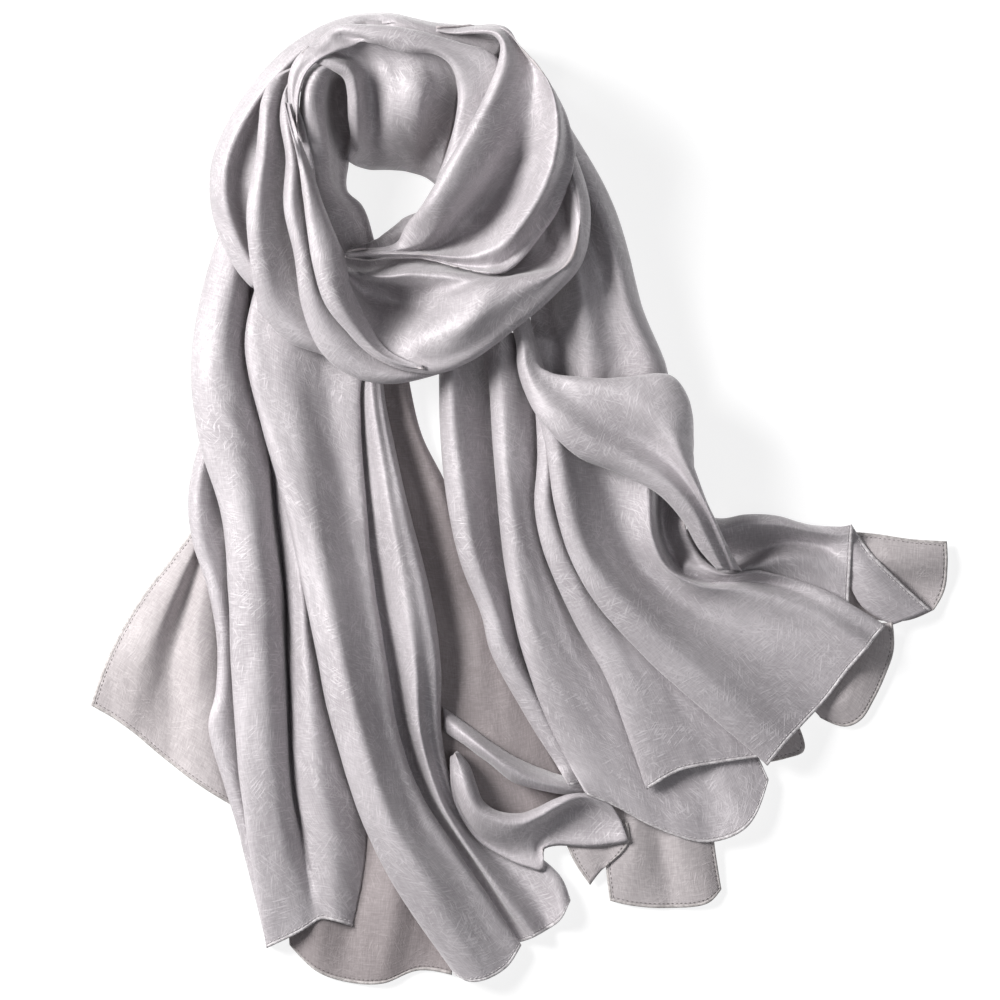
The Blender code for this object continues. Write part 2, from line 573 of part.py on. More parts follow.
def rolled_edge(edge, crest, pile):
    """Tuck, belly and shoulder of cloth that turns under along its edge."""
    inward = crest[:, :2] - edge[:, :2]
    reach = np.linalg.norm(inward, axis=1)[:, None]
    inward = inward / np.maximum(reach, 1e-6)
    rest = eased(np.maximum(pile.at(edge[:, :2]) + GAP, edge[:, 2]))
    top = np.maximum(crest[:, 2], rest + 3)
    rows = []
    for inset, lift in ((np.minimum(TUCK, reach * 0.3), 0.0), (0.0, ROLL_BELLY),
                        (np.minimum(TUCK, reach * 0.3), ROLL_SHOULDER)):
        plan = edge[:, :2] + inward * inset
        rows.append(np.column_stack([plan, rest + (top - rest) * lift]))
    return rows


def surface_net(rows):
    """Even net of points across the fold lines."""
    width = np.linalg.norm(np.diff(rows, axis=0), axis=2).mean(axis=1)
    share = np.concatenate([[0], np.cumsum(np.sqrt(width))])
    share /= share[-1]
    wanted = [0.0]
    for number, reach in enumerate(width):
        parts = max(1, round(reach / ACROSS_STEP))
        gap = share[number + 1] - share[number]
        wanted += [share[number] + gap * (k + 1) / parts for k in range(parts)]
    net = np.stack([spline_at(rows[:, j], share, wanted) for j in range(rows.shape[1])], 1)
    return net


def spline_at(points, share, wanted):
    """Curve through one section's points with the knots at the given shares."""
    own = np.sqrt(np.maximum(np.linalg.norm(np.diff(points, axis=0), axis=1), 1e-6))
    own = np.concatenate([[0], np.cumsum(own)]) / own.sum()
    return spline(points, np.interp(wanted, share, own))


def net_normals(net):
    across = np.gradient(net, axis=0)
    along = np.gradient(net, axis=1)
    normal = np.cross(across, along)
    length = np.linalg.norm(normal, axis=2, keepdims=True)
    normal = normal / np.maximum(length, 1e-9)
    if normal[..., 2].sum() < 0:
        normal = -normal
    return normal


def wall_faces(rows, columns):
    """Triangles of the closed wall: its outer face, its inner face and the rim."""
    faces = []
    inner = rows * columns
    for i in range(rows - 1):
        for j in range(columns - 1):
            a = i * columns + j
            b = a + 1
            c = a + columns
            d = c + 1
            faces += [(a, b, d), (a, d, c)]
            faces += [(inner + a, inner + d, inner + b), (inner + a, inner + c, inner + d)]
    border = [j for j in range(columns)]
    border += [i * columns + columns - 1 for i in range(1, rows)]
    border += [(rows - 1) * columns + j for j in range(columns - 2, -1, -1)]
    border += [i * columns for i in range(rows - 2, 0, -1)]
    for now, after in zip(border, border[1:] + border[:1]):
        faces += [(now, inner + now, inner + after), (now, inner + after, after)]
    return np.array(faces)


def wall_points(net):
    normal = net_normals(net)
    return np.concatenate([net.reshape(-1, 3), (net - normal * WALL).reshape(-1, 3)])


def lay_on(net, faces, pile):
    """Raises the net's points until its wall clears everything beneath it."""
    net = net.copy()
    flat_count = net.shape[0] * net.shape[1]
    weights = weights_inside(9)
    for turn in range(24):
        points = wall_points(net)
        corners = points[faces]
        inside = np.einsum("sk,fkc->fsc", weights, corners)
        beneath = pile.at(inside[..., :2].reshape(-1, 2)).reshape(inside.shape[:2])
        short = beneath + GAP - inside[..., 2]
        if short.max() <= 1e-6:
            break
        lift = np.zeros(flat_count)
        for corner in range(3):
            share = weights[:, corner] if turn < 16 else np.ones(len(weights))
            wanted = (np.maximum(short, 0) * share).max(axis=1)
            np.maximum.at(lift, faces[:, corner] % flat_count, wanted)
        net[..., 2] += lift.reshape(net.shape[:2]) * 1.01
    return net


def dense_points(points, faces):
    corners = points[faces]
    return np.einsum("sk,fkc->fsc", weights_inside(12), corners).reshape(-1, 3)


def mesh_object(name, points, faces, material):
    corners = points[faces]
    volume = np.einsum("ij,ij->i", corners[:, 0], np.cross(corners[:, 1], corners[:, 2]))
    if volume.sum() < 0:
        faces = faces[:, ::-1]
    mesh = bpy.data.meshes.new(name)
    mesh.from_pydata((points * MM).tolist(), [], faces.tolist())
    mesh.materials.append(material)
    made = bpy.data.objects.new(name, mesh)
    bpy.context.scene.collection.objects.link(made)
    return made


def core_net(outer, inner, ceiling):
    """Top of a pressed core between its two sides, just under the cloth above it."""
    length = run_length(np.array(outer, float))
    count = max(6, round(length / ALONG_STEP) + 1)
    sides = [even_curve(np.array(side, float), count) for side in (outer, inner)]
    rows = []
    for share in np.linspace(0, 1, 5):
        plan = sides[0] * (1 - share) + sides[1] * share
        rows.append(np.column_stack([plan, np.full(count, SHEET_SPAN)]))
    net = np.array(rows)
    edge_drop = np.array((0.45, 0.85, 1.0, 0.85, 0.45))[:, None]
    faces = wall_faces(net.shape[0], net.shape[1])
    top_faces = faces[(faces < net.shape[0] * net.shape[1]).all(axis=1)]
    weights = weights_inside(9)
    room = np.full(net.shape[0] * net.shape[1], SHEET_SPAN)
    inside = np.einsum("sk,fkc->fsc", weights, net.reshape(-1, 3)[top_faces])
    above = ceiling.at(inside[..., :2].reshape(-1, 2)).reshape(inside.shape[:2])
    for corner in range(3):
        np.minimum.at(room, top_faces[:, corner], above.min(axis=1) - CORE_CLEAR)
    net[..., 2] = np.maximum(room.reshape(net.shape[:2]) * edge_drop, CORE_LEAST)
    inside = np.einsum("sk,fkc->fsc", weights, net.reshape(-1, 3)[top_faces])
    net[..., 2] += (above - inside[..., 2]).min() - CORE_CLEAR
    return net


class Ceiling(Pile):
    """Least height of the undersides of the cloth, on the same cells."""

    def __init__(self):
        super().__init__()
        self.height[:] = SHEET_SPAN

    def add(self, points):
        place = self.index(points[:, :2])
        np.minimum.at(self.height, (place[:, 0], place[:, 1]), points[:, 2])
        for move in ((1, 0), (-1, 0), (0, 1), (0, -1)):
            near = np.clip(place + move, 0, self.cells - 1)
            np.minimum.at(self.height, (near[:, 0], near[:, 1]), points[:, 2])


def core_object(name, outer, inner, ceiling, material):
    net = core_net(outer, inner, ceiling)
    closed_ring = outer[0] == outer[-1]
    rows, columns = net.shape[:2]
    top = net.reshape(-1, 3)
    bottom = top * (1, 1, 0)
    points = np.concatenate([top, bottom])
    faces = wall_faces(rows, columns)
    if closed_ring:
        points, faces = joined_ring(net)
    return mesh_object(name, points, faces, material)


def joined_ring(net):
    """A core whose last section is its first one, made into one ring."""
    net = net[:, :-1]
    rows, columns = net.shape[:2]
    top = net.reshape(-1, 3)
    points = np.concatenate([top, top * (1, 1, 0)])
    base = rows * columns
    faces = []
    for j in range(columns):
        k = (j + 1) % columns
        for i in range(rows - 1):
            a = i * columns + j
            b = i * columns + k
            c = a + columns
            d = b + columns
            faces += [(a, b, d), (a, d, c), (base + a, base + d, base + b)]
            faces += [(base + a, base + c, base + d)]
        last = (rows - 1) * columns
        faces += [(j, base + j, base + k), (j, base + k, k)]
        faces += [(last + j, last + k, base + last + k)]
        faces += [(last + j, base + last + k, base + last + j)]
    return points, np.array(faces)


def centre_on_origin():
    """Moves everything so that the middle of the laid scarf is over the origin."""
    made = [one for one in bpy.data.objects if one.type == "MESH"]
    spots = np.array([tuple(v.co) for one in made for v in one.data.vertices])
    middle = (spots.min(axis=0) + spots.max(axis=0)) / 2
    for one in made:
        for vertex in one.data.vertices:
            vertex.co.x -= middle[0]
            vertex.co.y -= middle[1]
    print("middle of the tables' plan, mm:", np.round(middle * 1000, 3))


def main():
    clear_scene()
    materials = {
        "face": cloth_material("satin face", SILVER, 0.42),
        "reverse": cloth_material("pale reverse", PALE, 0.7),
        "shaded": cloth_material("shaded reverse", SHADED, 0.75),
    }
    pile = Pile()
    ceiling = Ceiling()
    for name, material, folds in STRETCHES:
        net = surface_net(fold_net(folds, pile))
        faces = wall_faces(net.shape[0], net.shape[1])
        net = lay_on(net, faces, pile)
        points = wall_points(net)
        spread = dense_points(points, faces)
        pile.add(spread)
        ceiling.add(spread)
        mesh_object(name, points, faces, materials[material])
        print(name, net.shape, "z", np.round(points[:, 2].min(), 1), np.round(points[:, 2].max(), 1))
    for name, outer, inner in CORES:
        core_object(name, outer, inner, ceiling, materials["reverse"])
    centre_on_origin()


main()
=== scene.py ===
import bpy
import numpy as np
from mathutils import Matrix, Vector


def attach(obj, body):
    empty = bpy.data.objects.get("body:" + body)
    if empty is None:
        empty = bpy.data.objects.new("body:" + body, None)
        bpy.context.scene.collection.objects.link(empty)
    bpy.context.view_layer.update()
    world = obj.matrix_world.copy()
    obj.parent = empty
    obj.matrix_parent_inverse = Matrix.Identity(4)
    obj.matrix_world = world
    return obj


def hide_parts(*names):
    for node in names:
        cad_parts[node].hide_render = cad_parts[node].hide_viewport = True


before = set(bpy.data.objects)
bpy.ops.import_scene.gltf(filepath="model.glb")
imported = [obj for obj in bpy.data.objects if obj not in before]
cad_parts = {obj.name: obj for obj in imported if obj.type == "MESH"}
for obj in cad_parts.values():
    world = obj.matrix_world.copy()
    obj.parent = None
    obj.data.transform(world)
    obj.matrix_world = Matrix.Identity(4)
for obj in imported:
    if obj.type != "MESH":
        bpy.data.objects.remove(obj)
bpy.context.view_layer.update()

# A satin scarf, wound once into a neck loop and laid flat with its two tails folded and
# fanned out below. Each stretch that shows is a thin shell of its own, laid on the ones
# beneath it. Lengths are in millimetres, and MM turns them into the scene's metres.
MM = 0.001

# Cloth, the air between its layers, the steps of its nets along and across a fold, and
# the fewest points along one.
CLOTH = 0.55
GAP = 0.25
ALONG_STEP = 3.0
ACROSS_STEP = 1.9
ALONG_FEWEST = 5

# Edge that turns under: how far its lower lip is tucked in, in millimetres and at most as
# a share of the fold's width, how high its belly and its shoulder lie as shares of the
# fold's height, the least height of the roll, and how often its way in, its width and its
# bed are evened out.
TUCK = 2.5
TUCK_SHARE = 0.3
ROLL_BELLY = 0.42
ROLL_SHOULDER = 0.8
ROLL_LEAST = 3.0
ROLL_WAY_TURNS = 6
ROLL_WIDTH_TURNS = 8
ROLL_BED_TURNS = 16

# Hollows in the bed of such an edge are bridged first: points to each side, and turns.
BRIDGE_REACH = 3
BRIDGE_TURNS = 3

# Map of the heights laid so far: side of its square cells and side of the whole map.
CELL = 1.5
MAP_SPAN = 720.0

# Laying a net down: rounds of raising it and of evening out each lift, the turns of one
# evening out, the height that counts as clear, and the steps put between the net's points
# to test it and to map it.
LAY_ROUNDS = 4
LAY_TURNS = 3
LAY_CLEAR = 0.001
LAY_STEPS = 2
MAP_STEPS = 3

# Points that a curve is read at, to set its places out evenly and to measure it.
CURVE_POINTS = 400
LENGTH_POINTS = 100

# Middle of the laid scarf in the tables' plan, which the scene has over its origin.
MIDDLE = (0.25, 0.722)

# The photograph's frame in millimetres of the tables' plan, and the camera's height and
# the loop's in metres.
PICTURE_WIDTH = 700.0
PICTURE_MIDDLE = (-13.3, 0.0)
CAMERA_HEIGHT = 12.0
LOOP_HEIGHT = 0.03
SENSOR = 36.0

# Soft boxes: name, place and side in metres, power in watts, and colour.
SOFT_BOXES = (
    ("key soft box", (-2.0, 0.9, 1.7), 1.2, 150.0, (1.0, 0.99, 0.98)),
    ("fill soft box", (1.2, -0.6, 2.6), 1.8, 16.0, (0.97, 0.98, 1.0)),
)
SKY_COLOUR = (0.95, 0.96, 1.0)
SKY_STRENGTH = 0.13

# Pale floor: side in metres, its two tones, the scale and detail of its clouds, how rough
# it is and how far it glows.
FLOOR_SIDE = 8.0
FLOOR_DARK = (0.24, 0.24, 0.242)
FLOOR_LIGHT = (0.26, 0.26, 0.262)
FLOOR_CLOUDS = (3.0, 2.0)
FLOOR_ROUGH = 0.9
FLOOR_GLOW = 0.8

# Cloth finishes: key, name, dark and light tone, roughness, metal and sheen, and how
# strongly the crushed lines, lightened as painted glints, and the weave show in its tone.
CLOTH_FINISHES = (
    ("face", "silver satin", (0.315, 0.292, 0.308), (0.50, 0.472, 0.492),
     0.60, 0.18, 0.28, 0.36, 0.34),
    ("reverse", "pale reverse", (0.32, 0.292, 0.298), (0.48, 0.443, 0.450),
     0.75, 0.0, 0.20, 0.20, 0.42),
    # The shaded finish is the pale reverse darkened with painted shade, for stretches in
    # shade.
    ("shaded", "shaded reverse", (0.20, 0.174, 0.177), (0.33, 0.294, 0.298),
     0.75, 0.0, 0.12, 0.12, 0.32),
)

# Hem and thread finishes: key, name, dark and light tone, and roughness.
EDGE_FINISHES = (
    ("hem_face", "satin hem", (0.34, 0.32, 0.33), (0.55, 0.53, 0.54), 0.5),
    ("hem_reverse", "reverse hem", (0.30, 0.28, 0.275), (0.46, 0.43, 0.425), 0.7),
    ("thread_face", "pale thread", (0.45, 0.43, 0.43), (0.60, 0.58, 0.58), 0.5),
    ("thread_reverse", "dark thread", (0.10, 0.09, 0.088), (0.19, 0.175, 0.17), 0.6),
)

# Patterns of the cloth: counts a metre across and along, and detail.
WARP = (1100.0, 120.0, 2.0)
WEFT = (130.0, 1000.0, 2.0)
CLOUDS = (16.0, 10.0, 3.0)
SCRATCHES = (820.0, 90.0, 1.0)
SCRATCH_PATCHES = (40.0, 30.0, 2.0)

# Ends of the noise that crushed lines, their patches and speckles go from none to full in.
SCRATCH_RANGE = (0.56, 0.74)
PATCH_RANGE = (0.40, 0.70)
SPECKLE_RANGE = (0.35, 0.65)

# Turns of the crushed lines, of their patches against them, and of the clouds.
SCRATCH_TURNS = (0.30, 0.95, 1.75, 2.55)
PATCH_TURN = 0.7
CLOUD_TURN = 0.4

# Shares of the patterns in the tone, and how far roughness follows it.
CLOUD_SHARE = 0.5
TONE_TOP = 0.62
ROUGH_SWING = 0.06
SHEEN_ROUGH = 0.45

# Speckles of hems and threads, by scale and detail, and the strength and the depth in
# metres of the fine relief.
SPECKLES = (420.0, 3.0)
BUMP_STRENGTH = 0.30
BUMP_DEPTH = 0.0004

# Sockets of a colour mix: its share, its two colours and its result.
MIX_SHARE = 0
MIX_DARK = 6
MIX_LIGHT = 7
MIX_COLOUR = 2

# Narrow rolled hem: width and height, step along the border and fewest points there,
# sides of the roll, how far its middle lies in from the border as a share of half its
# width, and how often the border's ways in and up are evened out.
HEM_WIDTH = 2.4
HEM_HEIGHT = 1.3
HEM_STEP = 2.6
HEM_FEWEST = 4
HEM_SIDES = 8
HEM_OVERLAP = 0.8
BORDER_TURNS = 3

# Machine stitches: space from one to the next, length and width, how far in from the
# border and up off the cloth they lie, and how far ahead each one looks for its course.
STITCH_PITCH = 3.2
STITCH_LENGTH = 2.0
STITCH_WIDTH = 0.5
STITCH_INSET = 3.0
STITCH_LIFT = 0.1
STITCH_AHEAD = 0.5

# Corners of a stitch's middle: shares of half its width, across and up.
STITCH_CORNERS = ((-1, 0.0), (0, 1.0), (1, 0.0), (0, -0.6))

# Pressed layers inside: how many folds show at their edges, how far each steps in, the
# space between sections and the fewest of them, the points across one, those at each side
# that give way to the folds, those around each that its height looks at, the air left
# above them, how far they sink below that once evened out, and their least height.
CORE_LAYERS = 5
CORE_STEP = 1.6
CORE_SPACING = 6.0
CORE_FEWEST = 8
CORE_ACROSS = 15
CORE_RIM = 2
CORE_NEAR = 2
CORE_CLEAR = 0.6
CORE_SINK = 1.0
CORE_LEAST = 3.0

# Rounding of one layer's edge: share of its height, and how far in.
LAYER_ROUND = ((0.0, 1.2), (0.5, 0.0), (0.95, 1.2))

# Slack of the loose cloth: wavelength across, wavelength along and height.
WAVES = ((9.0, 70.0, 0.10), (17.0, 110.0, 0.24), (31.0, 150.0, 0.45))

# Each wave is laid a few times, spread and leaned by chance, and bends as it runs.
WAVE_COPIES = 3
WAVE_SPREAD = (0.75, 1.35)
WAVE_LEAN = 0.25
WAVE_BEND = 6.0
WAVE_BEND_RUN = 90.0
WAVE_SWING = 1.3
FULL_TURN = 6.28
SLACK_SEED = 11

# A crease is read at this many points, and fades towards both ends of its path.
CREASE_POINTS = 60
CREASE_START = 0.03
CREASE_RUN = 0.94
CREASE_FADE = 0.6

# How a fold's line ends the cloth there.
FREE = "free edge or hidden edge"
ROLL = "edge where the cloth turns under"
BEND = "crest or hollow inside the cloth"

# The folds of every stretch, side by side across it. A row has the fold's name, its kind,
# its heights at even shares of its run, and the points of its path in plan.
LOWER_RIGHT_CORNER = (
    ("left hem", FREE, (9, 8, 6, 3), ((62, -198), (64, -222), (61, -250), (64, -281))),
    ("left swell", BEND, (12, 12, 11, 4), ((80, -196), (80, -218), (80, -250), (82, -285))),
    ("fold valley", BEND, (12, 7, 3), ((96, -196), (96, -218), (102, -254), (108, -286))),
    ("fold crest", BEND, (14, 13, 6), ((104, -194), (104, -216), (118, -250), (132, -283))),
    ("right hem", FREE, (12, 8, 4), ((132, -192), (134, -214), (138, -248), (142, -273))),
)
LEFT_CORNER_FLARE = (
    ("upper hem", FREE, (8, 6, 4), (
        (-226, -18), (-245, -43), (-260, -62), (-275, -85), (-290, -115), (-300, -144))),
    ("slack ridge", BEND, (10, 15, 5), (
        (-220, -20), (-238, -55), (-252, -85), (-264, -115), (-272, -140), (-277, -158))),
    ("hollow", BEND, (5, 4, 4), (
        (-214, -22), (-230, -58), (-240, -90), (-245, -120), (-246, -150), (-249, -181))),
    ("tail ridge", BEND, (10, 16, 9), (
        (-207, -24), (-220, -60), (-225, -90), (-224, -120), (-221, -155), (-224, -200))),
    ("hidden side", FREE, (4, 4, 4), (
        (-198, -26), (-200, -60), (-200, -90), (-200, -120), (-197, -160), (-196, -217))),
)
LEFT_TAIL_UNDER = (
    ("left hem", FREE, (5, 5, 4), ((-158, -236), (-162, -276), (-161, -312))),
    ("left swell", BEND, (10, 11, 5), ((-140, -232), (-141, -282), (-141, -331))),
    ("hollow", BEND, (7, 5, 3), ((-116, -228), (-117, -282), (-118, -338.5))),
    ("ridge", BEND, (11, 13, 6), ((-84, -230), (-89, -284), (-95, -339))),
    ("right hollow", BEND, (7, 6, 3), ((-64, -240), (-67, -288), (-71, -330))),
    ("hidden side", FREE, (4, 4, 4), ((-44, -284), (-46, -308), (-47, -333))),
)
RIGHT_FAR_CORNER = (
    ("upper hem", FREE, (9, 8, 6), ((228, -22), (252, -24), (276, -27.5), (300, -29))),
    ("swell", BEND, (10, 15, 8), ((226, -36), (252, -40), (278, -44), (300.5, -46))),
    ("hollow", BEND, (6, 6, 5), ((225, -54), (250, -58), (276, -61), (298.5, -63))),
    ("lower hem", FREE, (4, 5, 6), ((226, -78), (250, -84), (272, -84.5), (291, -77))),
)
RIGHT_FAR_FOLD = (
    ("diagonal hem", FREE, (13, 12, 9), ((233, -17), (247, -37), (264, -54), (289, -77))),
    ("crest", BEND, (15, 17, 11), ((230, -18), (240, -44), (254, -64), (280, -81))),
    ("hidden side", FREE, (14, 13, 10), ((222, -19), (228, -48), (240, -74), (262, -87.5))),
)
RIGHT_REAR_PANEL = (
    ("upper edge", ROLL, (0, 0, 0), (
        (120, -6), (140, -13), (158, -10), (180, -10.5), (205, -17), (234, -19))),
    ("upper crest", BEND, (31, 28, 19), (
        (118, -14), (140, -21), (158, -17), (182, -17), (208, -22), (233.5, -26))),
    ("valley", BEND, (7, 7, 11), (
        (118, -38), (148, -41), (166, -36), (186, -30), (208, -31), (232.8, -38))),
    ("lower crest", BEND, (26, 23, 14), (
        (118, -48), (148, -51), (166, -46), (186, -40), (208, -41), (232.3, -48))),
    ("lower swell", BEND, (16, 16, 14), (
        (118, -58), (142, -60), (162, -57), (185, -53), (208, -56), (231.5, -63))),
    ("hidden side", FREE, (12, 13, 12), (
        (122, -68), (145, -70), (162, -68), (186, -70), (208, -76), (231, -86))),
)
RIGHT_UNDERSIDE = (
    ("outer hem", FREE, (7, 5, 5), (
        (262, -86), (263, -105), (257, -123), (249, -140), (240, -154), (229, -159),
        (212, -153))),
    ("swell", BEND, (13, 10, 8), (
        (250, -86), (248, -104), (241, -118), (233, -132), (226, -141), (216, -145),
        (202, -143))),
    ("hidden side", FREE, (9, 6, 5), (
        (236, -84), (228, -98), (220, -110), (211, -121), (204, -128), (197, -132),
        (190, -134))),
)
UNDERSIDE_TIP = (
    ("outer hem", FREE, (6, 5, 5), ((197, -160), (200, -176), (188, -181), (174, -184))),
    ("hidden side", FREE, (9, 9, 9), ((182, -150), (180, -160), (170, -164), (160, -166))),
)
# Reverse side between the tails, coloured with painted shade, which also reaches under the
# lower swirl's hollow as a dark floor.
REVERSE_PANEL = (
    ("hidden left side", FREE, (14, 6, 5, 4, 3), (
        (-104, 96), (-101, 52), (-93, 8), (-84, -40), (-74, -90), (-70, -130),
        (-66, -176), (-54, -216))),
    ("left hollow", BEND, (14, 7, 5, 4, 3), (
        (-94, 96), (-86, 52), (-74, 12), (-64, -34), (-54, -84), (-50, -126),
        (-46, -176), (-30, -225))),
    ("long swell", BEND, (16, 12, 11, 8, 3), (
        (-86, 96), (-76, 56), (-62, 18), (-48, -28), (-36, -78), (-26, -122),
        (-14, -176), (4, -226))),
    ("hidden right side", FREE, (12, 6, 5, 4, 3), (
        (-79, 96), (-68, 46), (-52, 13), (-32, -30), (-14, -76), (2, -118),
        (24, -180), (42, -212))),
)
LOWER_MIDDLE_CORNER = (
    ("left edge", FREE, (8, 7, 5), ((30, -232), (38, -252), (50, -270))),
    ("swell", BEND, (10, 10, 7), ((52, -228), (54, -246), (56, -262))),
    ("right hem", FREE, (7, 7, 6), ((76, -226), (77, -240), (62, -256))),
)
LOWER_MIDDLE_FOLD = (
    ("hidden upper side", FREE, (6, 8, 8, 7), (
        (-53, -145), (-42, -153), (-20, -169), (0, -181), (22, -190), (50, -198))),
    ("crest", BEND, (12, 28, 34, 32, 26, 14), (
        (-53, -154), (-34, -167), (-20, -178), (-8, -187), (5, -194), (20, -199),
        (50, -204))),
    ("under edge", ROLL, (0, 2, 6), (
        (-53, -161.5), (-42, -169), (-30, -178), (-20, -185), (-12, -192), (-4, -198),
        (12, -203), (50, -209))),
)
LOWER_MIDDLE_SWIRL = (
    ("inner edge", ROLL, (2, 2, 2, 6), (
        (-43.5, -176), (-35, -186), (-29.5, -200), (-25, -210.5), (-15, -217.5),
        (0, -219.5), (12, -216), (25, -209.5), (40, -205.5), (58, -208))),
    ("crest", BEND, (26, 32, 30, 28, 26, 20), (
        (-45, -177), (-40, -192), (-35.5, -207), (-29, -217.5), (-15, -225),
        (0, -226.5), (14, -221.5), (28, -213.5), (43, -208), (64, -213))),
    ("sheet", BEND, (22, 26, 22, 17, 14, 16), (
        (-46, -178), (-43.5, -197), (-38, -214), (-29, -228), (-12, -236),
        (3, -236), (17, -228), (32, -219), (50, -216), (72, -226))),
    ("inner hump", BEND, (16, 16, 14, 12, 10, 9, 9, 16), (
        (-47, -179), (-46, -202), (-39.5, -221), (-28, -236), (-8, -247), (8, -251),
        (14, -242), (24, -233.5), (50, -231), (75, -235))),
    ("lower edge", ROLL, (6, 4, 4, 4, 4, 8), (
        (-48, -180), (-47, -206), (-40, -224), (-28, -240), (-8, -252.5), (8, -258.5),
        (17, -260), (17.5, -251), (17, -246), (26, -242.8), (50, -243.5), (77, -240))),
)
LEFT_SIDE_FOLD = (
    ("outer edge", ROLL, (0, 0, 0), (
        (-222, 46), (-232, 5), (-229, -28), (-218, -62), (-212, -100), (-213, -135),
        (-218, -158), (-208, -197), (-197, -233), (-186, -275), (-177, -313))),
    ("crest", BEND, (24, 20, 13), (
        (-216, 46), (-224, 5), (-221, -28), (-211, -62), (-206, -100), (-206, -135),
        (-209, -160), (-201, -197), (-190, -233), (-179, -275), (-171, -310))),
    ("hidden side", FREE, (8, 7, 5), (
        (-204, 46), (-207, 5), (-203, -28), (-196, -62), (-194, -100), (-192, -135),
        (-190, -160), (-185, -197), (-178, -233), (-170, -272), (-160, -304))),
)
LEFT_TAIL_OUTER = (
    ("outer edge", ROLL, (0, 0, 0), (
        (-207, 196), (-219, 160), (-229, 110), (-229, 70), (-221, 30), (-209, -8),
        (-204, -60), (-201, -125), (-196, -195), (-188, -250), (-177, -314))),
    ("outer shoulder", BEND, (34, 40, 40, 34, 14), (
        (-200, 193), (-211, 157), (-220, 110), (-219, 70), (-211, 28), (-201, -11),
        (-195, -62), (-191, -125), (-185, -195), (-177, -250), (-166, -309))),
    ("outer crest", BEND, (36, 42, 42, 34, 14), (
        (-193, 189), (-201, 150), (-206, 108), (-202, 68), (-193, 28), (-187, -12),
        (-180, -62), (-177, -125), (-172, -195), (-163, -249), (-152, -302))),
    ("groove left", BEND, (26, 26, 26, 22, 10), (
        (-187, 185), (-192, 143), (-194, 105), (-187, 68), (-178, 28), (-174, -12),
        (-168, -62), (-165, -125), (-162, -195), (-154, -246), (-143, -296))),
    ("groove", BEND, (10, 8, 7, 7, 5), (
        (-184, 183), (-188, 140), (-189, 103), (-182.5, 68), (-174, 28), (-170, -12),
        (-164.5, -62), (-162, -125), (-159, -195), (-151, -245), (-139.5, -294))),
    ("groove right", BEND, (20, 24, 24, 24, 10), (
        (-181, 182), (-184, 138), (-184, 102), (-178, 68), (-170.5, 28), (-166, -12),
        (-161, -62), (-158, -125), (-154, -195), (-146, -245), (-136, -294))),
    ("second crest", BEND, (24, 34, 36, 34, 12), (
        (-174, 179), (-177, 136), (-175, 100), (-170, 68), (-163, 28), (-157, -12),
        (-152, -62), (-147, -125), (-139, -195), (-132, -243), (-130, -295))),
    ("second slope", BEND, (18, 20, 22, 22, 10), (
        (-166, 177), (-170, 136), (-168, 98), (-163, 68), (-157, 28), (-151, -12),
        (-144, -62), (-136, -125), (-122, -195), (-117, -241), (-123, -297))),
    ("inner side", FREE, (12, 12, 7, 7, 6), (
        (-160, 176), (-163, 136), (-161, 100), (-156, 66), (-152, 28), (-146, -12),
        (-136, -62), (-125, -125), (-109, -195), (-107, -240), (-117, -299))),
)
LEFT_TAIL_INNER = (
    ("hidden side", FREE, (18, 14, 12, 8, 5), (
        (-118, 110), (-120, 78), (-117, 34), (-112, -10), (-106, -60), (-98, -116),
        (-88, -168), (-71, -212), (-40, -258), (-6, -311))),
    ("shaded slope", BEND, (20, 16, 14, 10, 5), (
        (-110, 108), (-112, 78), (-109, 34), (-104, -10), (-98, -60), (-89, -116),
        (-79, -168), (-63, -210), (-34, -252), (3, -309.5))),
    ("crest", BEND, (30, 36, 38, 32, 26, 16), (
        (-103, 106), (-103, 76), (-97, 34), (-90, -10), (-81, -60), (-73, -112),
        (-69, -164), (-56, -208), (-42, -234), (-24, -260), (-4, -288), (11, -306))),
    ("concave sheet", BEND, (29, 34, 36, 20, 8, 6), (
        (-99, 104), (-99, 75), (-92, 33), (-84, -10), (-73, -60), (-65, -112),
        (-63, -164), (-50, -209), (-30, -237), (-6, -259), (12, -280), (21, -300.5))),
    ("right rim", BEND, (28, 33, 34, 20, 10, 16), (
        (-97, 103), (-96, 73), (-89, 32), (-79, -10), (-67, -61), (-58.5, -112),
        (-57.5, -165), (-46, -208), (-20, -236), (8, -252), (25, -271), (30, -293))),
    ("right edge", ROLL, (0, 0, 0, 0, 4), (
        (-96, 102), (-94, 72), (-86, 32), (-76, -10), (-63, -62), (-55, -112),
        (-54, -166), (-43, -206), (-15, -235), (13, -249), (30, -264), (36, -281))),
)
LEFT_TAIL_FRONT = (
    ("main fold edge", ROLL, (0, 0, 0), (
        (-184, 151), (-192, 110), (-180, 50), (-166, 2), (-154, -50), (-143, -104),
        (-130, -162), (-112, -220), (-88, -270), (-45, -333))),
    ("main fold shoulder", BEND, (36, 46, 50, 46, 16), (
        (-171, 143), (-180, 104), (-171, 50), (-158, 2), (-146, -50), (-135, -104),
        (-121, -162), (-102, -220), (-76, -270), (-35, -337.5))),
    ("main fold crest", BEND, (38, 46, 54, 50, 18), (
        (-152, 132), (-161, 96), (-154, 48), (-144, 0), (-134, -50), (-124, -104),
        (-110, -162), (-90, -222), (-62, -272), (-24, -336.5))),
    ("main fold side", BEND, (30, 28, 34, 34, 13), (
        (-126, 118), (-134, 88), (-130, 45), (-123, -2), (-114, -52), (-105, -106),
        (-94, -164), (-73, -219), (-45, -263), (-8, -327))),
    ("main fold right edge", ROLL, (0, 0, 0), (
        (-106, 104), (-111, 78), (-110, 40), (-107, -4), (-102, -52), (-93, -110),
        (-84, -164), (-67, -208), (-40, -250), (2, -312))),
)
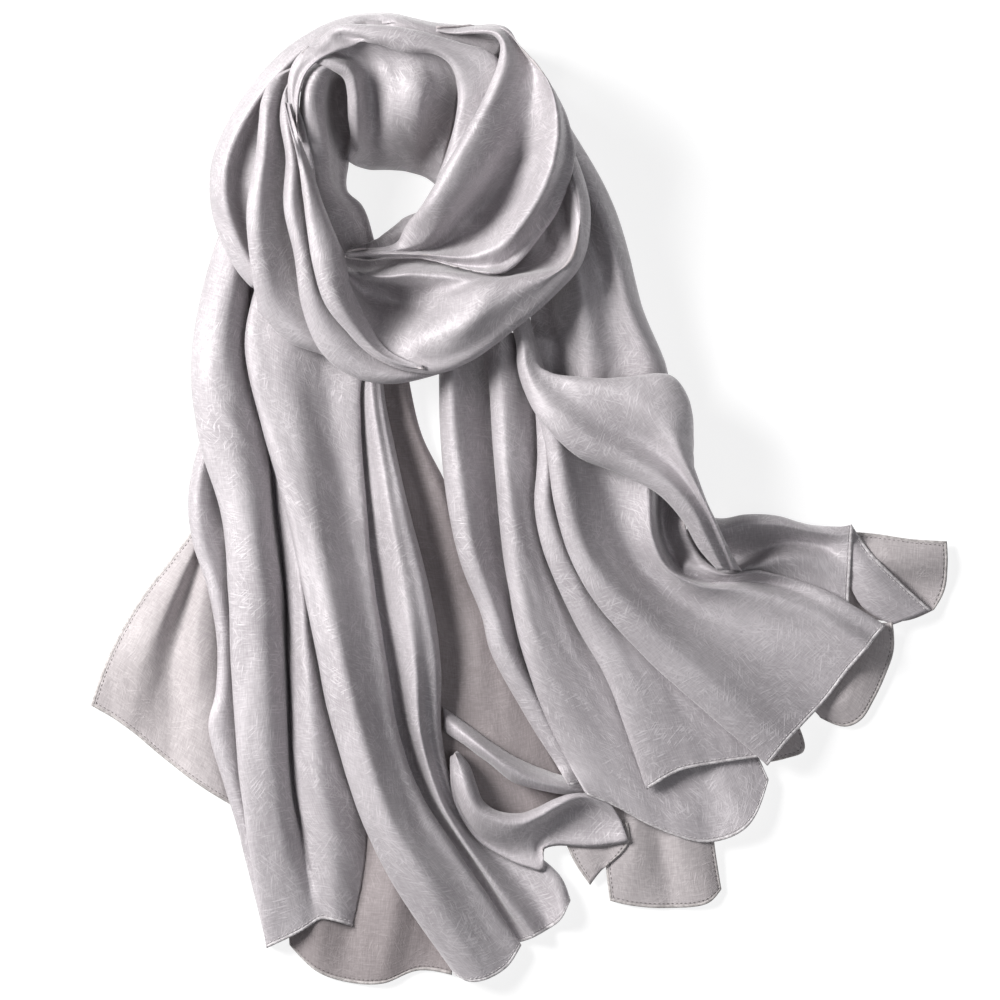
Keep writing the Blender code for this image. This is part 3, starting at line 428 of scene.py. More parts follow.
RIGHT_TAIL_OUTER = (
    ("outer edge", ROLL, (0, 0, 0), (
        (-56, 108), (-56, 62), (-53.5, 25), (-48, -15), (-41, -45), (-27, -80),
        (-21, -105), (2, -147), (35, -200))),
    ("crest", BEND, (44, 34, 16), (
        (-46, 108), (-46, 62), (-42, 25), (-36, -15), (-29, -45), (-16, -80),
        (-8, -106), (14, -146), (45, -198))),
    ("hollow", BEND, (24, 16, 10), (
        (-28, 108), (-26, 62), (-23, 25), (-18, -15), (-13, -45), (-2, -80),
        (6, -106), (26, -142), (56, -192))),
    ("hidden side", FREE, (14, 10, 7), (
        (-16, 108), (-12, 62), (-9, 25), (-4, -15), (1, -45), (10, -80),
        (18, -106), (38, -138), (68, -186))),
)
RIGHT_TAIL_MIDDLE = (
    ("edge", ROLL, (0, 0, 0), (
        (-23, 118), (-21, 80), (-17, 20), (-11, -40), (-2, -90), (10, -130),
        (27, -170), (47, -206))),
    ("crest", BEND, (50, 42, 20), (
        (-14, 118), (-12, 80), (-8, 20), (-1, -40), (8, -90), (21, -128),
        (40, -168), (66, -214))),
    ("slope", BEND, (42, 33, 16), (
        (2, 116), (4, 80), (6, 20), (14, -42), (28, -90), (44, -128),
        (68, -170), (96, -230))),
    ("hollow", BEND, (28, 20, 10), (
        (14, 112), (18, 78), (22, 20), (32, -44), (52, -92), (74, -130),
        (104, -172), (132, -240))),
    ("lobe crest", BEND, (26, 20, 15), (
        (24, 108), (32, 76), (38, 18), (50, -46), (74, -92), (100, -128),
        (134, -168), (160, -229))),
    ("lobe edge", FREE, (20, 14, 10), (
        (32, 104), (44, 74), (52, 16), (66, -48), (92, -92), (122, -126),
        (156, -160), (175, -196))),
)
RIGHT_TAIL_INNER = (
    ("edge", ROLL, (0, 0, 0), (
        (10, 74), (13, 30), (11, -6), (17, -36), (36, -80), (60, -124), (77, -168),
        (89, -203))),
    ("crest", BEND, (52, 46, 24), (
        (17, 74), (20, 30), (20, -6), (28, -36), (50, -80), (78, -122), (98, -162),
        (112, -190))),
    ("slope", BEND, (44, 36, 20), (
        (28, 74), (30, 30), (32, -6), (42, -36), (68, -80), (100, -118), (124, -152),
        (142, -184))),
    ("hidden side", FREE, (34, 26, 16), (
        (44, 74), (46, 30), (50, -6), (62, -36), (92, -78), (126, -112), (150, -144),
        (170, -180))),
)
RIGHT_FRONT_PANEL = (
    ("fold edge", ROLL, (0, 0, 0), (
        (13, 62), (19, 34), (25, -4), (35, -40), (56, -75), (90, -112), (130, -148),
        (174, -186))),
    ("fold crest", BEND, (62, 56, 26), (
        (22, 62), (28, 34), (35, -2), (46, -36), (69, -68), (103, -101), (143, -134),
        (186, -171))),
    ("fold slope", BEND, (52, 44, 20), (
        (34, 60), (40, 33), (47, -1), (59, -34), (83, -64), (117, -94), (157, -124),
        (199, -157))),
    ("broad hollow", BEND, (40, 30, 14), (
        (52, 58), (58, 32), (64, 0), (76, -34), (101, -62), (137, -88), (176, -112),
        (216, -139))),
    ("low swell", BEND, (42, 38, 24, 18), (
        (72, 54), (76, 30), (80, 0), (87, -34), (110, -60), (146, -78), (189, -97),
        (231, -119))),
    ("upper crest", BEND, (42, 46, 46, 40, 32, 28, 26), (
        (92, 50), (92, 28), (91.5, 2), (93.5, -26), (104, -48), (128, -60), (160, -63),
        (200, -76), (244, -104))),
    ("pocket floor", BEND, (24, 8, 5, 6, 16, 22, 18), (
        (100, 48), (100, 27), (100, 2), (102, -24), (112, -43), (133, -55.5),
        (163, -56), (204, -68), (250, -96))),
    ("upper edge", ROLL, (10, 6, 4, 4, 10, 8, 4), (
        (112, 46), (112, 26), (113, 2), (119, -24), (128, -40), (143, -50.5),
        (168, -49.5), (210, -61), (257, -88))),
)
RIGHT_SHOULDER = (
    ("outer edge", ROLL, (0, 0, 0, 0, 6), (
        (-12, 320), (14, 293), (40, 255), (62, 216), (77, 172), (86, 136), (103, 93),
        (105, 79), (100, 68), (88, 62))),
    ("outer crest", BEND, (46, 51, 54, 50, 36), (
        (-16, 312), (8, 286), (32, 248), (53, 210), (68, 168), (77, 132), (92, 96),
        (94, 85), (91, 77), (83, 71))),
    ("crease", BEND, (40, 40, 44, 44, 36), (
        (-22, 300), (0, 274), (22, 238), (42, 200), (56, 162), (62, 130), (71, 97),
        (73, 87), (73, 80), (70, 74))),
    ("inner crest", BEND, (44, 46, 54, 38), (
        (-26, 290), (-8, 264), (12, 228), (31, 190), (42, 154), (46, 126), (50, 94),
        (50, 66))),
    ("panel slope", BEND, (40, 38, 40, 32), (
        (-28, 286), (-11, 259), (6, 223), (23, 186), (30, 152), (32, 122), (34, 95),
        (34, 66))),
    ("panel hollow", BEND, (34, 28, 22, 20), (
        (-30, 282), (-14, 254), (0, 218), (14, 182), (20, 150), (20, 119), (22, 97),
        (22, 66))),
    ("hidden side", FREE, (30, 24, 18, 16), (
        (-34, 276), (-20, 246), (-10, 212), (0, 176), (6, 144), (9, 117), (10, 98),
        (10, 66))),
)
TWISTED_FLAP = (
    ("lower edge", ROLL, (34, 38, 44, 40, 26), (
        (-12, 150), (-7, 128), (-2, 108), (-1, 92), (4, 75), (14, 56), (40, 30.5),
        (70, 18), (97, 4), (114, -14), (126, -34), (139, -49))),
    ("lower crest", BEND, (60, 66, 76, 72, 68, 46), (
        (-8, 150), (-2, 128), (3, 109), (5, 93), (13, 76), (26, 61), (50, 42),
        (78, 29), (104, 13), (121, -7), (132, -28), (143, -49))),
    ("dip", BEND, (62, 64, 70, 62, 60, 40), (
        (-6, 150), (1, 128), (6.5, 109), (10, 94), (24, 80), (42, 69), (65, 52),
        (88, 40), (109, 22), (125, 0), (136, -24), (147, -49))),
    ("broad swell", BEND, (60, 62, 72, 76, 66, 42), (
        (-4, 150), (3, 128), (9, 109), (14, 94), (32, 85), (58, 80), (85, 66),
        (103, 50), (114, 28), (127, 4), (139, -21), (150, -49))),
    ("upper crest", BEND, (58, 60, 66, 70, 62, 40), (
        (-2, 150), (5, 128), (11, 108), (18, 90), (42, 86), (70, 85), (100, 82),
        (113, 62), (118, 36), (127, 10), (139, -17), (153, -49))),
    ("upper edge", ROLL, (30, 34, 44, 44, 34, 26), (
        (0, 150), (7, 128), (13, 106), (22, 85.5), (48, 84), (76, 86), (106, 87),
        (119, 70), (122, 42), (123, 14), (138, -18), (156, -49.5))),
)
BACK_OF_NECK = (
    ("left rim", ROLL, (66, 66, 60, 46, 22), (
        (-149, 307), (-138, 303.5), (-129, 299), (-122.5, 294), (-120, 284),
        (-119.5, 268), (-118.5, 251), (-121, 238))),
    ("rim crest", BEND, (82, 84, 80, 72, 54, 14), (
        (-148, 310.5), (-137, 308), (-126, 304.5), (-117, 298), (-114, 285),
        (-113, 268), (-112.5, 251), (-114, 234))),
    ("left hollow", BEND, (74, 67, 60, 52, 36, 6), (
        (-138, 316), (-126, 312), (-114, 307), (-106, 298), (-103, 284),
        (-102.5, 268), (-103, 250), (-106, 231.8))),
    ("bulge left side", BEND, (74, 67, 68, 63, 40, 5), (
        (-110, 320), (-102, 314), (-94, 307), (-89.5, 297), (-88, 284),
        (-88.5, 268), (-90, 250), (-93, 231.5))),
    ("bulge right side", BEND, (74, 67, 72, 65, 34, 5), (
        (-78, 322), (-74, 314), (-71, 306), (-69, 296), (-69.5, 283),
        (-71, 266), (-73.5, 249), (-78, 230))),
    ("right hollow", BEND, (70, 60, 58, 40, 18, 5), (
        (-54, 318), (-53, 310), (-54, 302), (-55, 292), (-57, 279),
        (-60, 263), (-63, 247), (-67, 227))),
    ("hidden right side", FREE, (64, 54, 46, 32, 18, 8), (
        (-40, 312), (-39, 304), (-40, 296), (-42, 286), (-44, 273),
        (-48, 257), (-52, 243), (-57, 220))),
)
LOOP_OUTER_BAND = (
    ("outer edge", ROLL, (20, 12, 0, 0, 0, 0, 0), (
        (-6, 324), (-30, 331), (-60, 334.5), (-100, 341.5), (-140, 331), (-175, 305),
        (-203, 266), (-216, 232), (-214, 198), (-200, 164), (-187, 148))),
    ("crest", BEND, (50, 58, 58, 58, 56, 52), (
        (-10, 320), (-32, 326), (-60, 329.5), (-100, 335), (-136, 325), (-168, 298),
        (-194, 262), (-205, 231), (-203, 200), (-191, 172), (-177, 152))),
    ("hollow", BEND, (54, 58, 50, 46, 44, 40), (
        (-14, 313), (-34, 320), (-60, 323), (-100, 328), (-132, 318), (-161, 292),
        (-185, 257), (-195, 230), (-193, 200), (-183, 174), (-169, 156))),
    ("hidden side", FREE, (54, 54, 48, 46, 44), (
        (-20, 302), (-36, 311), (-60, 313), (-100, 318), (-128, 308), (-154, 284),
        (-176, 250), (-184, 228), (-182, 200), (-174, 178), (-160, 160))),
)
INNER_NECK_FOLD = (
    ("outer edge", ROLL, (14, 22, 48, 62, 66, 70), (
        (-126, 168), (-134, 190), (-144, 216), (-151, 243), (-153.2, 266),
        (-151.8, 286), (-146, 300), (-138, 306))),
    ("outer crest", BEND, (18, 28, 62, 78, 82, 82), (
        (-120, 172), (-127, 195), (-138, 219), (-145, 245), (-147, 268), (-145, 287),
        (-139, 299), (-132, 304))),
    ("inner crest", BEND, (16, 24, 54, 76, 76, 76), (
        (-113, 176), (-120, 200), (-131, 219.5), (-136, 244), (-138.5, 268),
        (-137, 286), (-133, 297), (-127, 301))),
    ("pocket wall", BEND, (8, 12, 24, 28, 22, 24), (
        (-105, 179), (-113, 203), (-124.5, 218), (-125, 241), (-129, 262), (-129, 282),
        (-126.5, 291), (-122, 296))),
    ("pocket edge", ROLL, (2, 4, 6, 6, 6), (
        (-101, 180), (-109.5, 206), (-120, 217), (-119, 238), (-115, 258), (-114, 278),
        (-113, 288), (-112, 294))),
)
LOOP_RIDGE = (
    ("outer edge", ROLL, (46, 64, 70, 71, 73, 74, 71, 68, 67, 66, 66), (
        (-156.5, 250), (-159.5, 268), (-162, 286), (-159, 302), (-150, 314), (-138, 323),
        (-127, 331), (-100, 331.5), (-70, 327.5), (-40, 318.5), (-18, 311), (-10, 296),
        (-20, 266), (-42, 230))),
    ("outer crest", BEND, (50, 76, 81, 82, 83, 84, 80, 77, 76, 76, 76), (
        (-155.8, 250), (-157.8, 268), (-159, 286), (-155, 300), (-146.5, 310),
        (-134, 319.5), (-124, 327), (-100, 327), (-70, 322), (-42, 313), (-28, 305),
        (-24, 286), (-33, 257), (-49, 227))),
    ("inner crest", BEND, (50, 76, 80, 81, 83, 84, 83, 80, 77, 74, 72), (
        (-155, 250), (-156, 268), (-155.8, 286), (-151.5, 297.5), (-143.5, 306.5),
        (-130, 315), (-118, 321), (-100, 322), (-76, 316.5), (-56, 313), (-45, 304),
        (-39, 286), (-43, 257), (-55, 224))),
    ("inner edge", ROLL, (46, 62, 67, 69, 70, 70, 69, 66, 63, 59, 56), (
        (-154.2, 250), (-154.2, 268), (-152.4, 286), (-148.2, 297.5), (-140, 306), (-128, 312),
        (-115, 316), (-100, 317.5), (-80, 312), (-60, 311), (-48.5, 304), (-43, 285),
        (-46.5, 256), (-58, 222))),
)
FAN_OUTER_FOLD = (
    ("left edge", ROLL, (40, 58, 60, 56, 48, 42, 34), (
        (-156, 303), (-172, 294.5), (-180, 280), (-182, 262), (-184, 240), (-190, 205),
        (-188, 170), (-180, 132), (-162, 111), (-137, 101), (-120, 93))),
    ("crest", BEND, (48, 74, 74, 70, 62, 54, 44), (
        (-155, 300), (-168, 290), (-174.5, 277), (-176.5, 258), (-178, 238), (-182, 206),
        (-179, 172), (-170, 139), (-154, 119), (-133, 106), (-118, 96))),
    ("inner slope", BEND, (46, 66, 64, 60, 54, 48, 40), (
        (-154, 298), (-163, 284), (-168, 272), (-169, 254), (-170, 236), (-171, 207),
        (-167, 176), (-159, 148), (-144, 129), (-126, 113), (-115, 100))),
    ("hidden side", FREE, (42, 56, 54, 50, 46, 42, 36), (
        (-153, 295), (-157, 278), (-158, 265), (-158, 250), (-157, 234), (-158, 208),
        (-154, 180), (-147, 155), (-134, 137), (-118, 121), (-110, 104))),
)
FAN_MIDDLE_FOLD = (
    ("left edge", ROLL, (42, 66, 68, 66, 62, 56, 50, 44), (
        (-158, 296), (-164.5, 284), (-166.5, 266), (-163, 238), (-164.5, 205), (-157, 172),
        (-152, 136), (-139, 104), (-118, 87), (-90, 81), (-45, 91))),
    ("crest", BEND, (50, 80, 82, 80, 76, 70, 62, 50), (
        (-157, 296), (-162, 283), (-162, 265), (-158, 237), (-158, 205), (-151, 174),
        (-144, 141), (-131, 113), (-112, 95), (-88, 86.5), (-46, 93))),
    ("inner slope", BEND, (48, 74, 74, 72, 66, 58, 48), (
        (-156, 294), (-158, 281), (-156, 262), (-151, 236), (-150, 206), (-144, 178),
        (-137, 149), (-123, 124), (-106, 105), (-84, 95), (-46, 96))),
    ("hidden side", FREE, (46, 64, 64, 60, 54, 48, 44), (
        (-155, 292), (-154, 278), (-149, 258), (-143, 236), (-140, 206), (-134, 180),
        (-127, 156), (-114, 132), (-99, 114), (-80, 103), (-46, 99))),
)
FRONT_SWAG = (
    ("lower edge", ROLL, (46, 54, 60, 62, 62, 58, 54), (
        (-134, 146), (-120, 117), (-96, 96), (-62, 88), (-36, 95.5), (-4, 118),
        (26, 143.5), (44, 165), (50, 200), (40, 240))),
    ("lower crest", BEND, (60, 62, 70, 80, 84, 82, 78, 72), (
        (-131, 149), (-115, 124), (-93, 105), (-61, 98), (-37, 105), (-8, 126.5),
        (18, 149), (37, 171), (42, 202), (34, 239))),
    ("bulge lower side", BEND, (46, 34, 46, 80, 94, 92, 88, 82, 78, 74, 70), (
        (-128, 154), (-111, 137), (-90, 124), (-62, 118), (-38, 122), (-12, 139),
        (6, 150), (22, 156.5), (37, 168), (41, 183), (41, 204), (33, 238))),
    ("bulge upper side", BEND, (40, 18, 18, 40, 82, 90, 84, 78, 76, 74, 72, 66), (
        (-126.5, 160), (-112, 147), (-95, 141), (-75, 137), (-50, 138), (-25, 147),
        (-4, 154), (12, 157.5), (28, 161.5), (36, 171), (38.5, 186), (38, 205),
        (31, 237))),
    ("ridge foot", BEND, (36, 22, 24, 40, 70, 78, 68, 54, 44, 46, 50, 52), (
        (-125, 163), (-111, 152.5), (-95, 149.8), (-77, 147), (-55, 148), (-30, 152.5),
        (-6, 157), (10, 160.5), (22, 166), (29, 177), (32, 191), (31, 208),
        (26, 236))),
    ("ridge crest", BEND, (40, 54, 64, 68, 72, 70, 58, 44, 40, 46, 50), (
        (-124, 166), (-110, 158), (-94, 156), (-76, 157.5), (-54, 156), (-30, 155.8),
        (-9, 159.5), (4, 164), (15, 173), (22, 187), (25, 205), (22, 234))),
    ("slit", BEND, (30, 22, 26, 34, 38, 40, 42, 42, 44, 46), (
        (-123, 168), (-109, 164.5), (-95, 166.5), (-77, 169), (-55, 167), (-32, 165),
        (-13, 167), (-1, 174), (8, 184), (12, 198), (15, 213), (14, 232))),
    ("lip groove", BEND, (16, 18, 20, 24, 30, 36, 40), (
        (-121, 173), (-105, 174.5), (-91, 175.8), (-76, 176), (-56, 176), (-36, 175),
        (-21, 178), (-11, 184), (-4, 195), (-1, 207), (0, 218), (0, 229))),
    ("neck lip crest", BEND, (10, 18, 28, 34, 38, 42), (
        (-119, 175.8), (-103, 179), (-87, 185.5), (-73, 192), (-54, 189), (-35, 185),
        (-22, 187), (-13, 197), (-8, 212), (-7, 228))),
    ("neck lip", ROLL, (4, 6, 12, 24, 30), (
        (-117, 178), (-101, 182.5), (-90, 190.3), (-79, 198.5), (-62, 202), (-42, 198),
        (-27, 197), (-18, 204), (-13, 215), (-12, 227))),
)
FAN_INNER_FOLD = (
    ("left edge", ROLL, (72, 73, 74, 74, 74, 72, 66, 58, 62, 66), (
        (-163.6, 277), (-160.5, 262), (-155, 240), (-151, 212), (-148.5, 192),
        (-143, 160), (-135, 136), (-120, 116.5), (-102, 101.5), (-86, 94), (-66, 91.4))),
    ("crest", BEND, (79, 86, 88, 88, 88, 88, 86, 80, 75, 71), (
        (-162.6, 277), (-158.5, 261), (-152, 240), (-146.5, 213), (-143, 193),
        (-135.5, 163), (-127.5, 140), (-114, 120), (-100, 104.4), (-85, 96), (-66, 91.9))),
    ("inner slope", BEND, (78, 83, 84, 84, 84, 82, 74, 70, 72, 72), (
        (-161.6, 277), (-156.8, 260), (-149.5, 239), (-142, 214), (-136, 195),
        (-126.5, 167), (-121, 147), (-109.5, 124), (-98.5, 107.2), (-84.5, 98),
        (-66, 92.4))),
    ("right side", FREE, (72, 72, 74, 74, 72, 56, 42, 60, 70, 73), (
        (-160.6, 277), (-155.8, 259), (-147.5, 238), (-139, 214), (-131, 192),
        (-121.5, 170), (-117.5, 150), (-106.5, 127), (-97, 110), (-84, 100),
        (-66, 92.9))),
)
RIGHT_BAND = (
    ("inner edge", ROLL, (59, 62, 68, 72, 72, 72, 70, 62, 42, 34, 30), (
        (-58, 327.4), (-44, 325.2), (-30, 325.5), (-18, 324), (-13.5, 318), (-14.5, 306),
        (-20, 290), (-30, 270), (-47.5, 240), (-60, 218), (-70, 203), (-77, 195),
        (-81, 188), (-85, 180.5), (-93, 177.2), (-105, 176.4), (-121, 173.6))),
    ("rim", BEND, (60, 68, 81, 90, 94, 94, 92, 84, 56, 44, 38), (
        (-58, 327.9), (-44, 326.4), (-30, 327.5), (-16, 326), (-10.5, 319), (-10, 306),
        (-15.5, 289), (-25.5, 268), (-43, 238), (-55.5, 216), (-65, 201), (-72, 192),
        (-77, 185), (-82, 178.8), (-92, 176), (-105, 175.2), (-121, 172.8))),
    ("flat", BEND, (60, 66, 75, 82, 86, 88, 86, 78, 54, 48, 40), (
        (-58, 328.4), (-44, 327.6), (-30, 329.2), (-14, 328), (-6, 320), (0, 306), (-5, 284),
        (-15, 260), (-31, 231), (-45, 209), (-55, 195), (-63, 185), (-70, 179),
        (-79, 175.6), (-91, 174.8), (-105, 174), (-121, 172))),
    ("valley", BEND, (59, 63, 70, 76, 74, 56, 38, 24, 40, 50, 40), (
        (-58, 328.9), (-44, 328.6), (-30, 330.2), (-12, 329), (-2, 319), (10, 300), (8, 274),
        (1, 248), (-11, 222), (-28, 201), (-42, 187), (-54, 178.5), (-66, 174.8),
        (-78, 173.6), (-91, 173.4), (-105, 172.6), (-121, 171.2))),
    ("ridge", BEND, (58, 60, 79, 96, 98, 96, 86, 70, 60, 52, 40), (
        (-58, 329.4), (-44, 329.6), (-30, 331), (-11, 329.8), (1, 316), (21, 290), (27, 264),
        (25, 240), (15, 213), (0, 190), (-15, 176), (-35, 169.5), (-62, 171),
        (-78, 171.8), (-91, 171.8), (-105, 171), (-121, 170.4))),
    ("lower groove", BEND, (56, 55, 67, 76, 76, 76, 68, 58, 52, 46, 38), (
        (-58, 329.9), (-44, 330.4), (-30, 331.6), (-10, 330), (3, 312), (25, 285), (33, 258),
        (32, 236), (22, 207), (7, 184), (-7, 168.5), (-22, 161.5), (-45, 165),
        (-66, 169.6), (-91, 170), (-105, 168.8), (-121, 169.6))),
    ("outer edge", ROLL, (54, 48, 55, 62, 62, 62, 56, 48, 44, 40, 32), (
        (-58, 330.4), (-44, 331), (-30, 332), (-9, 330), (5, 309), (28, 280), (38, 252),
        (38, 232), (28, 204), (12, 180), (-1, 164.5), (-11, 158), (-24, 157.8),
        (-45, 162.8), (-66, 168), (-90, 168.4), (-104, 167), (-121, 168.8))),
)

# Name, face that is up (shaded is the reverse darkened with painted shade), borders with a
# rolled hem, what it lies on, and its folds, from the surface upwards.
STRETCHES = (
    ("lower_right_corner", "reverse", ("first", "last", "end"), "floor", LOWER_RIGHT_CORNER),
    ("left_corner_flare", "reverse", ("first", "end"), "floor", LEFT_CORNER_FLARE),
    # This stretch lies in shade between the tails, so its reverse has painted shade.
    ("left_tail_under", "shaded", ("end",), "floor", LEFT_TAIL_UNDER),
    ("right_far_corner", "reverse", ("first", "end"), "floor", RIGHT_FAR_CORNER),
    ("right_far_fold", "face", ("first",), "right_far_corner", RIGHT_FAR_FOLD),
    ("right_rear_panel", "face", ("end",), "right_far_corner", RIGHT_REAR_PANEL),
    ("right_underside", "reverse", ("first",), "floor", RIGHT_UNDERSIDE),
    ("underside_tip", "reverse", ("first",), "floor", UNDERSIDE_TIP),
    # Reverse between the tails, darkened with painted shade; it also lies dark under the
    # swirl's hollow.
    ("reverse_panel", "shaded", (), "floor", REVERSE_PANEL),
    ("lower_middle_corner", "reverse", ("first", "last"), "floor", LOWER_MIDDLE_CORNER),
    ("lower_middle_fold", "face", (), "reverse_panel", LOWER_MIDDLE_FOLD),
    ("left_side_fold", "face", ("end",), "left_corner_flare", LEFT_SIDE_FOLD),
    ("left_tail_outer", "face", ("end",), "left_side_fold", LEFT_TAIL_OUTER),
    ("left_tail_inner", "face", ("end",), "left_tail_outer", LEFT_TAIL_INNER),
    ("lower_middle_swirl", "face", (), "left_tail_inner", LOWER_MIDDLE_SWIRL),
    ("left_tail_front", "face", ("end",), "left_tail_inner", LEFT_TAIL_FRONT),
    ("right_tail_outer", "face", ("end",), "reverse_panel", RIGHT_TAIL_OUTER),
    ("right_tail_middle", "face", ("last", "end"), "right_tail_outer", RIGHT_TAIL_MIDDLE),
    ("right_tail_inner", "face", ("end",), "right_tail_middle", RIGHT_TAIL_INNER),
    ("right_front_panel", "face", ("end",), "right_tail_inner", RIGHT_FRONT_PANEL),
    ("right_shoulder", "face", (), "right_tail_middle", RIGHT_SHOULDER),
    ("twisted_flap", "face", (), "right_front_panel", TWISTED_FLAP),
    ("loop_outer_band", "face", (), "left_tail_outer", LOOP_OUTER_BAND),
    ("inner_neck_fold", "face", (), "hidden_loop_layers", INNER_NECK_FOLD),
    ("back_of_neck", "face", (), "inner_neck_fold", BACK_OF_NECK),
    ("fan_outer_fold", "face", (), "loop_outer_band", FAN_OUTER_FOLD),
    ("fan_middle_fold", "face", (), "fan_outer_fold", FAN_MIDDLE_FOLD),
    ("front_swag", "face", (), "hidden_loop_layers", FRONT_SWAG),
    ("loop_ridge", "face", (), "loop_outer_band", LOOP_RIDGE),
    ("fan_inner_fold", "face", (), "fan_middle_fold", FAN_INNER_FOLD),
    ("right_band", "face", (), "front_swag", RIGHT_BAND),
)

# Stretches that stand for a part of another one's solid.
PART_OF = {
    "left_tail_inner": "left_tail_front",
    "lower_middle_swirl": "lower_middle_fold",
}

# Creases pressed into a stretch: its name, then width, depth and path of each crease.
CREASES = {
    "loop_outer_band": (
        (4.0, 7, ((-112, 331), (-101, 335), (-88, 331.5))),
    ),
    "loop_ridge": (
        (3.0, 6, ((-129, 326), (-120, 322), (-106, 318.5))),
    ),
}

# The pressed layers that nobody sees: name and two sides in plan.
CORES = (
    ("hidden_loop_layers", (
        (-134, 168), (-146, 196), (-160, 232), (-160, 262), (-140, 292), (-104, 306),
        (-66, 304), (-34, 290), (-14, 264), (0, 232), (2, 200), (-12, 172), (-44, 146),
        (-84, 130), (-118, 144), (-134, 168)), (
        (-128, 188), (-131, 208), (-132, 226), (-131, 240), (-122, 248), (-106, 250),
        (-84, 250), (-62, 244), (-46, 232), (-42, 220), (-46, 204), (-58, 186),
        (-76, 174), (-98, 166), (-116, 170), (-128, 188))),
    ("hidden_left_layers", (
        (-206, 96), (-204, 50), (-193, 0), (-184, -60), (-178, -120), (-168, -180),
        (-150, -236)), (
        (-122, 90), (-122, 44), (-116, -4), (-108, -64), (-98, -124), (-90, -176),
        (-74, -226))),
    ("hidden_right_layers", (
        (-40, 84), (-38, 40), (-30, -6), (-16, -50), (4, -92), (30, -130), (58, -164)), (
        (72, 40), (80, 14), (88, -14), (100, -50), (120, -78), (144, -100),
        (168, -124))),
)


def place_camera():
    """Looks straight down on the laid scarf, with the photograph's frame."""
    lens = bpy.data.cameras.new("camera")
    lens.sensor_width = SENSOR
    lens.lens = SENSOR * CAMERA_HEIGHT / (PICTURE_WIDTH * MM)
    lens.dof.use_dof = False
    camera = bpy.data.objects.new("camera", lens)
    bpy.context.scene.collection.objects.link(camera)
    camera.location = (
        (PICTURE_MIDDLE[0] - MIDDLE[0]) * MM, (PICTURE_MIDDLE[1] - MIDDLE[1]) * MM,
        CAMERA_HEIGHT + LOOP_HEIGHT)
    bpy.context.scene.camera = camera


def soft_light(name, place, size, power, colour):
    """A square soft box at a place, turned to the middle of the floor."""
    lamp = bpy.data.lights.new(name, "AREA")
    lamp.shape = "SQUARE"
    lamp.size = size
    lamp.energy = power
    lamp.color = colour
    made = bpy.data.objects.new(name, lamp)
    bpy.context.scene.collection.objects.link(made)
    made.location = place
    way = -Vector(place)
    made.rotation_euler = way.to_track_quat("-Z", "Y").to_euler()


def light_studio():
    """Even pale light from all round, a strong soft box at the left and a weak one."""
    scene = bpy.context.scene
    scene.view_settings.view_transform = "Standard"
    world = bpy.data.worlds.new("studio")
    world.use_nodes = True
    backing = world.node_tree.nodes["Background"]
    backing.inputs["Color"].default_value = (*SKY_COLOUR, 1.0)
    backing.inputs["Strength"].default_value = SKY_STRENGTH
    scene.world = world
    for box in SOFT_BOXES:
        soft_light(*box)


def lay_floor():
    """Wide floor under the scarf, which isn't part of it."""
    bpy.ops.mesh.primitive_grid_add(x_subdivisions=4, y_subdivisions=4, size=FLOOR_SIDE)
    floor = bpy.context.active_object
    floor.name = "floor"
    floor.data.materials.append(floor_finish())


def add_node(material, kind, **settings):
    """New node in the material, with its settings."""
    made = material.node_tree.nodes.new(kind)
    for name, value in settings.items():
        setattr(made, name, value)
    return made


def join(material, source, target):
    """Links a node's output to another node's input."""
    material.node_tree.links.new(source, target)


def new_finish(name):
    """New material and its shader."""
    material = bpy.data.materials.new(name)
    material.use_nodes = True
    return material, material.node_tree.nodes["Principled BSDF"]


def stretched_noise(material, place, turn, across, along, detail):
    """Noise drawn out into threads: counts a metre across and along, and a turn."""
    mapping = add_node(material, "ShaderNodeMapping", vector_type="TEXTURE")
    mapping.inputs["Rotation"].default_value = (0, 0, turn)
    mapping.inputs["Scale"].default_value = (1 / across, 1 / along, 1)
    join(material, place, mapping.inputs["Vector"])
    noise = add_node(material, "ShaderNodeTexNoise", noise_dimensions="2D")
    noise.inputs["Scale"].default_value = 1.0
    noise.inputs["Detail"].default_value = detail
    join(material, mapping.outputs["Vector"], noise.inputs["Vector"])
    return noise.outputs["Fac"]


def remapped(material, value, low, high, out_low, out_high):
    """The value moved smoothly from one range to another, and kept inside it."""
    made = add_node(material, "ShaderNodeMapRange", interpolation_type="SMOOTHSTEP")
    join(material, value, made.inputs["Value"])
    for socket, number in (("From Min", low), ("From Max", high),
                           ("To Min", out_low), ("To Max", out_high)):
        made.inputs[socket].default_value = number
    return made.outputs["Result"]


def combined(material, operation, first, second):
    """Two values put together, each a number or a node's output."""
    made = add_node(material, "ShaderNodeMath", operation=operation)
    for value, socket in ((first, made.inputs[0]), (second, made.inputs[1])):
        if isinstance(value, (int, float)):
            socket.default_value = value
        else:
            join(material, value, socket)
    return made.outputs["Value"]


def speckled_noise(material, scale, detail):
    """Even noise over the object's own space."""
    place = add_node(material, "ShaderNodeTexCoord").outputs["Object"]
    noise = add_node(material, "ShaderNodeTexNoise")
    noise.inputs["Scale"].default_value = scale
    noise.inputs["Detail"].default_value = detail
    join(material, place, noise.inputs["Vector"])
    return noise.outputs["Fac"]


def two_tones(material, shader, share, dark, light):
    """Base colour that goes from a dark to a light tone with the share."""
    mix = add_node(material, "ShaderNodeMix", data_type="RGBA")
    join(material, share, mix.inputs[MIX_SHARE])
    mix.inputs[MIX_DARK].default_value = (*dark, 1.0)
    mix.inputs[MIX_LIGHT].default_value = (*light, 1.0)
    join(material, mix.outputs[MIX_COLOUR], shader.inputs["Base Color"])


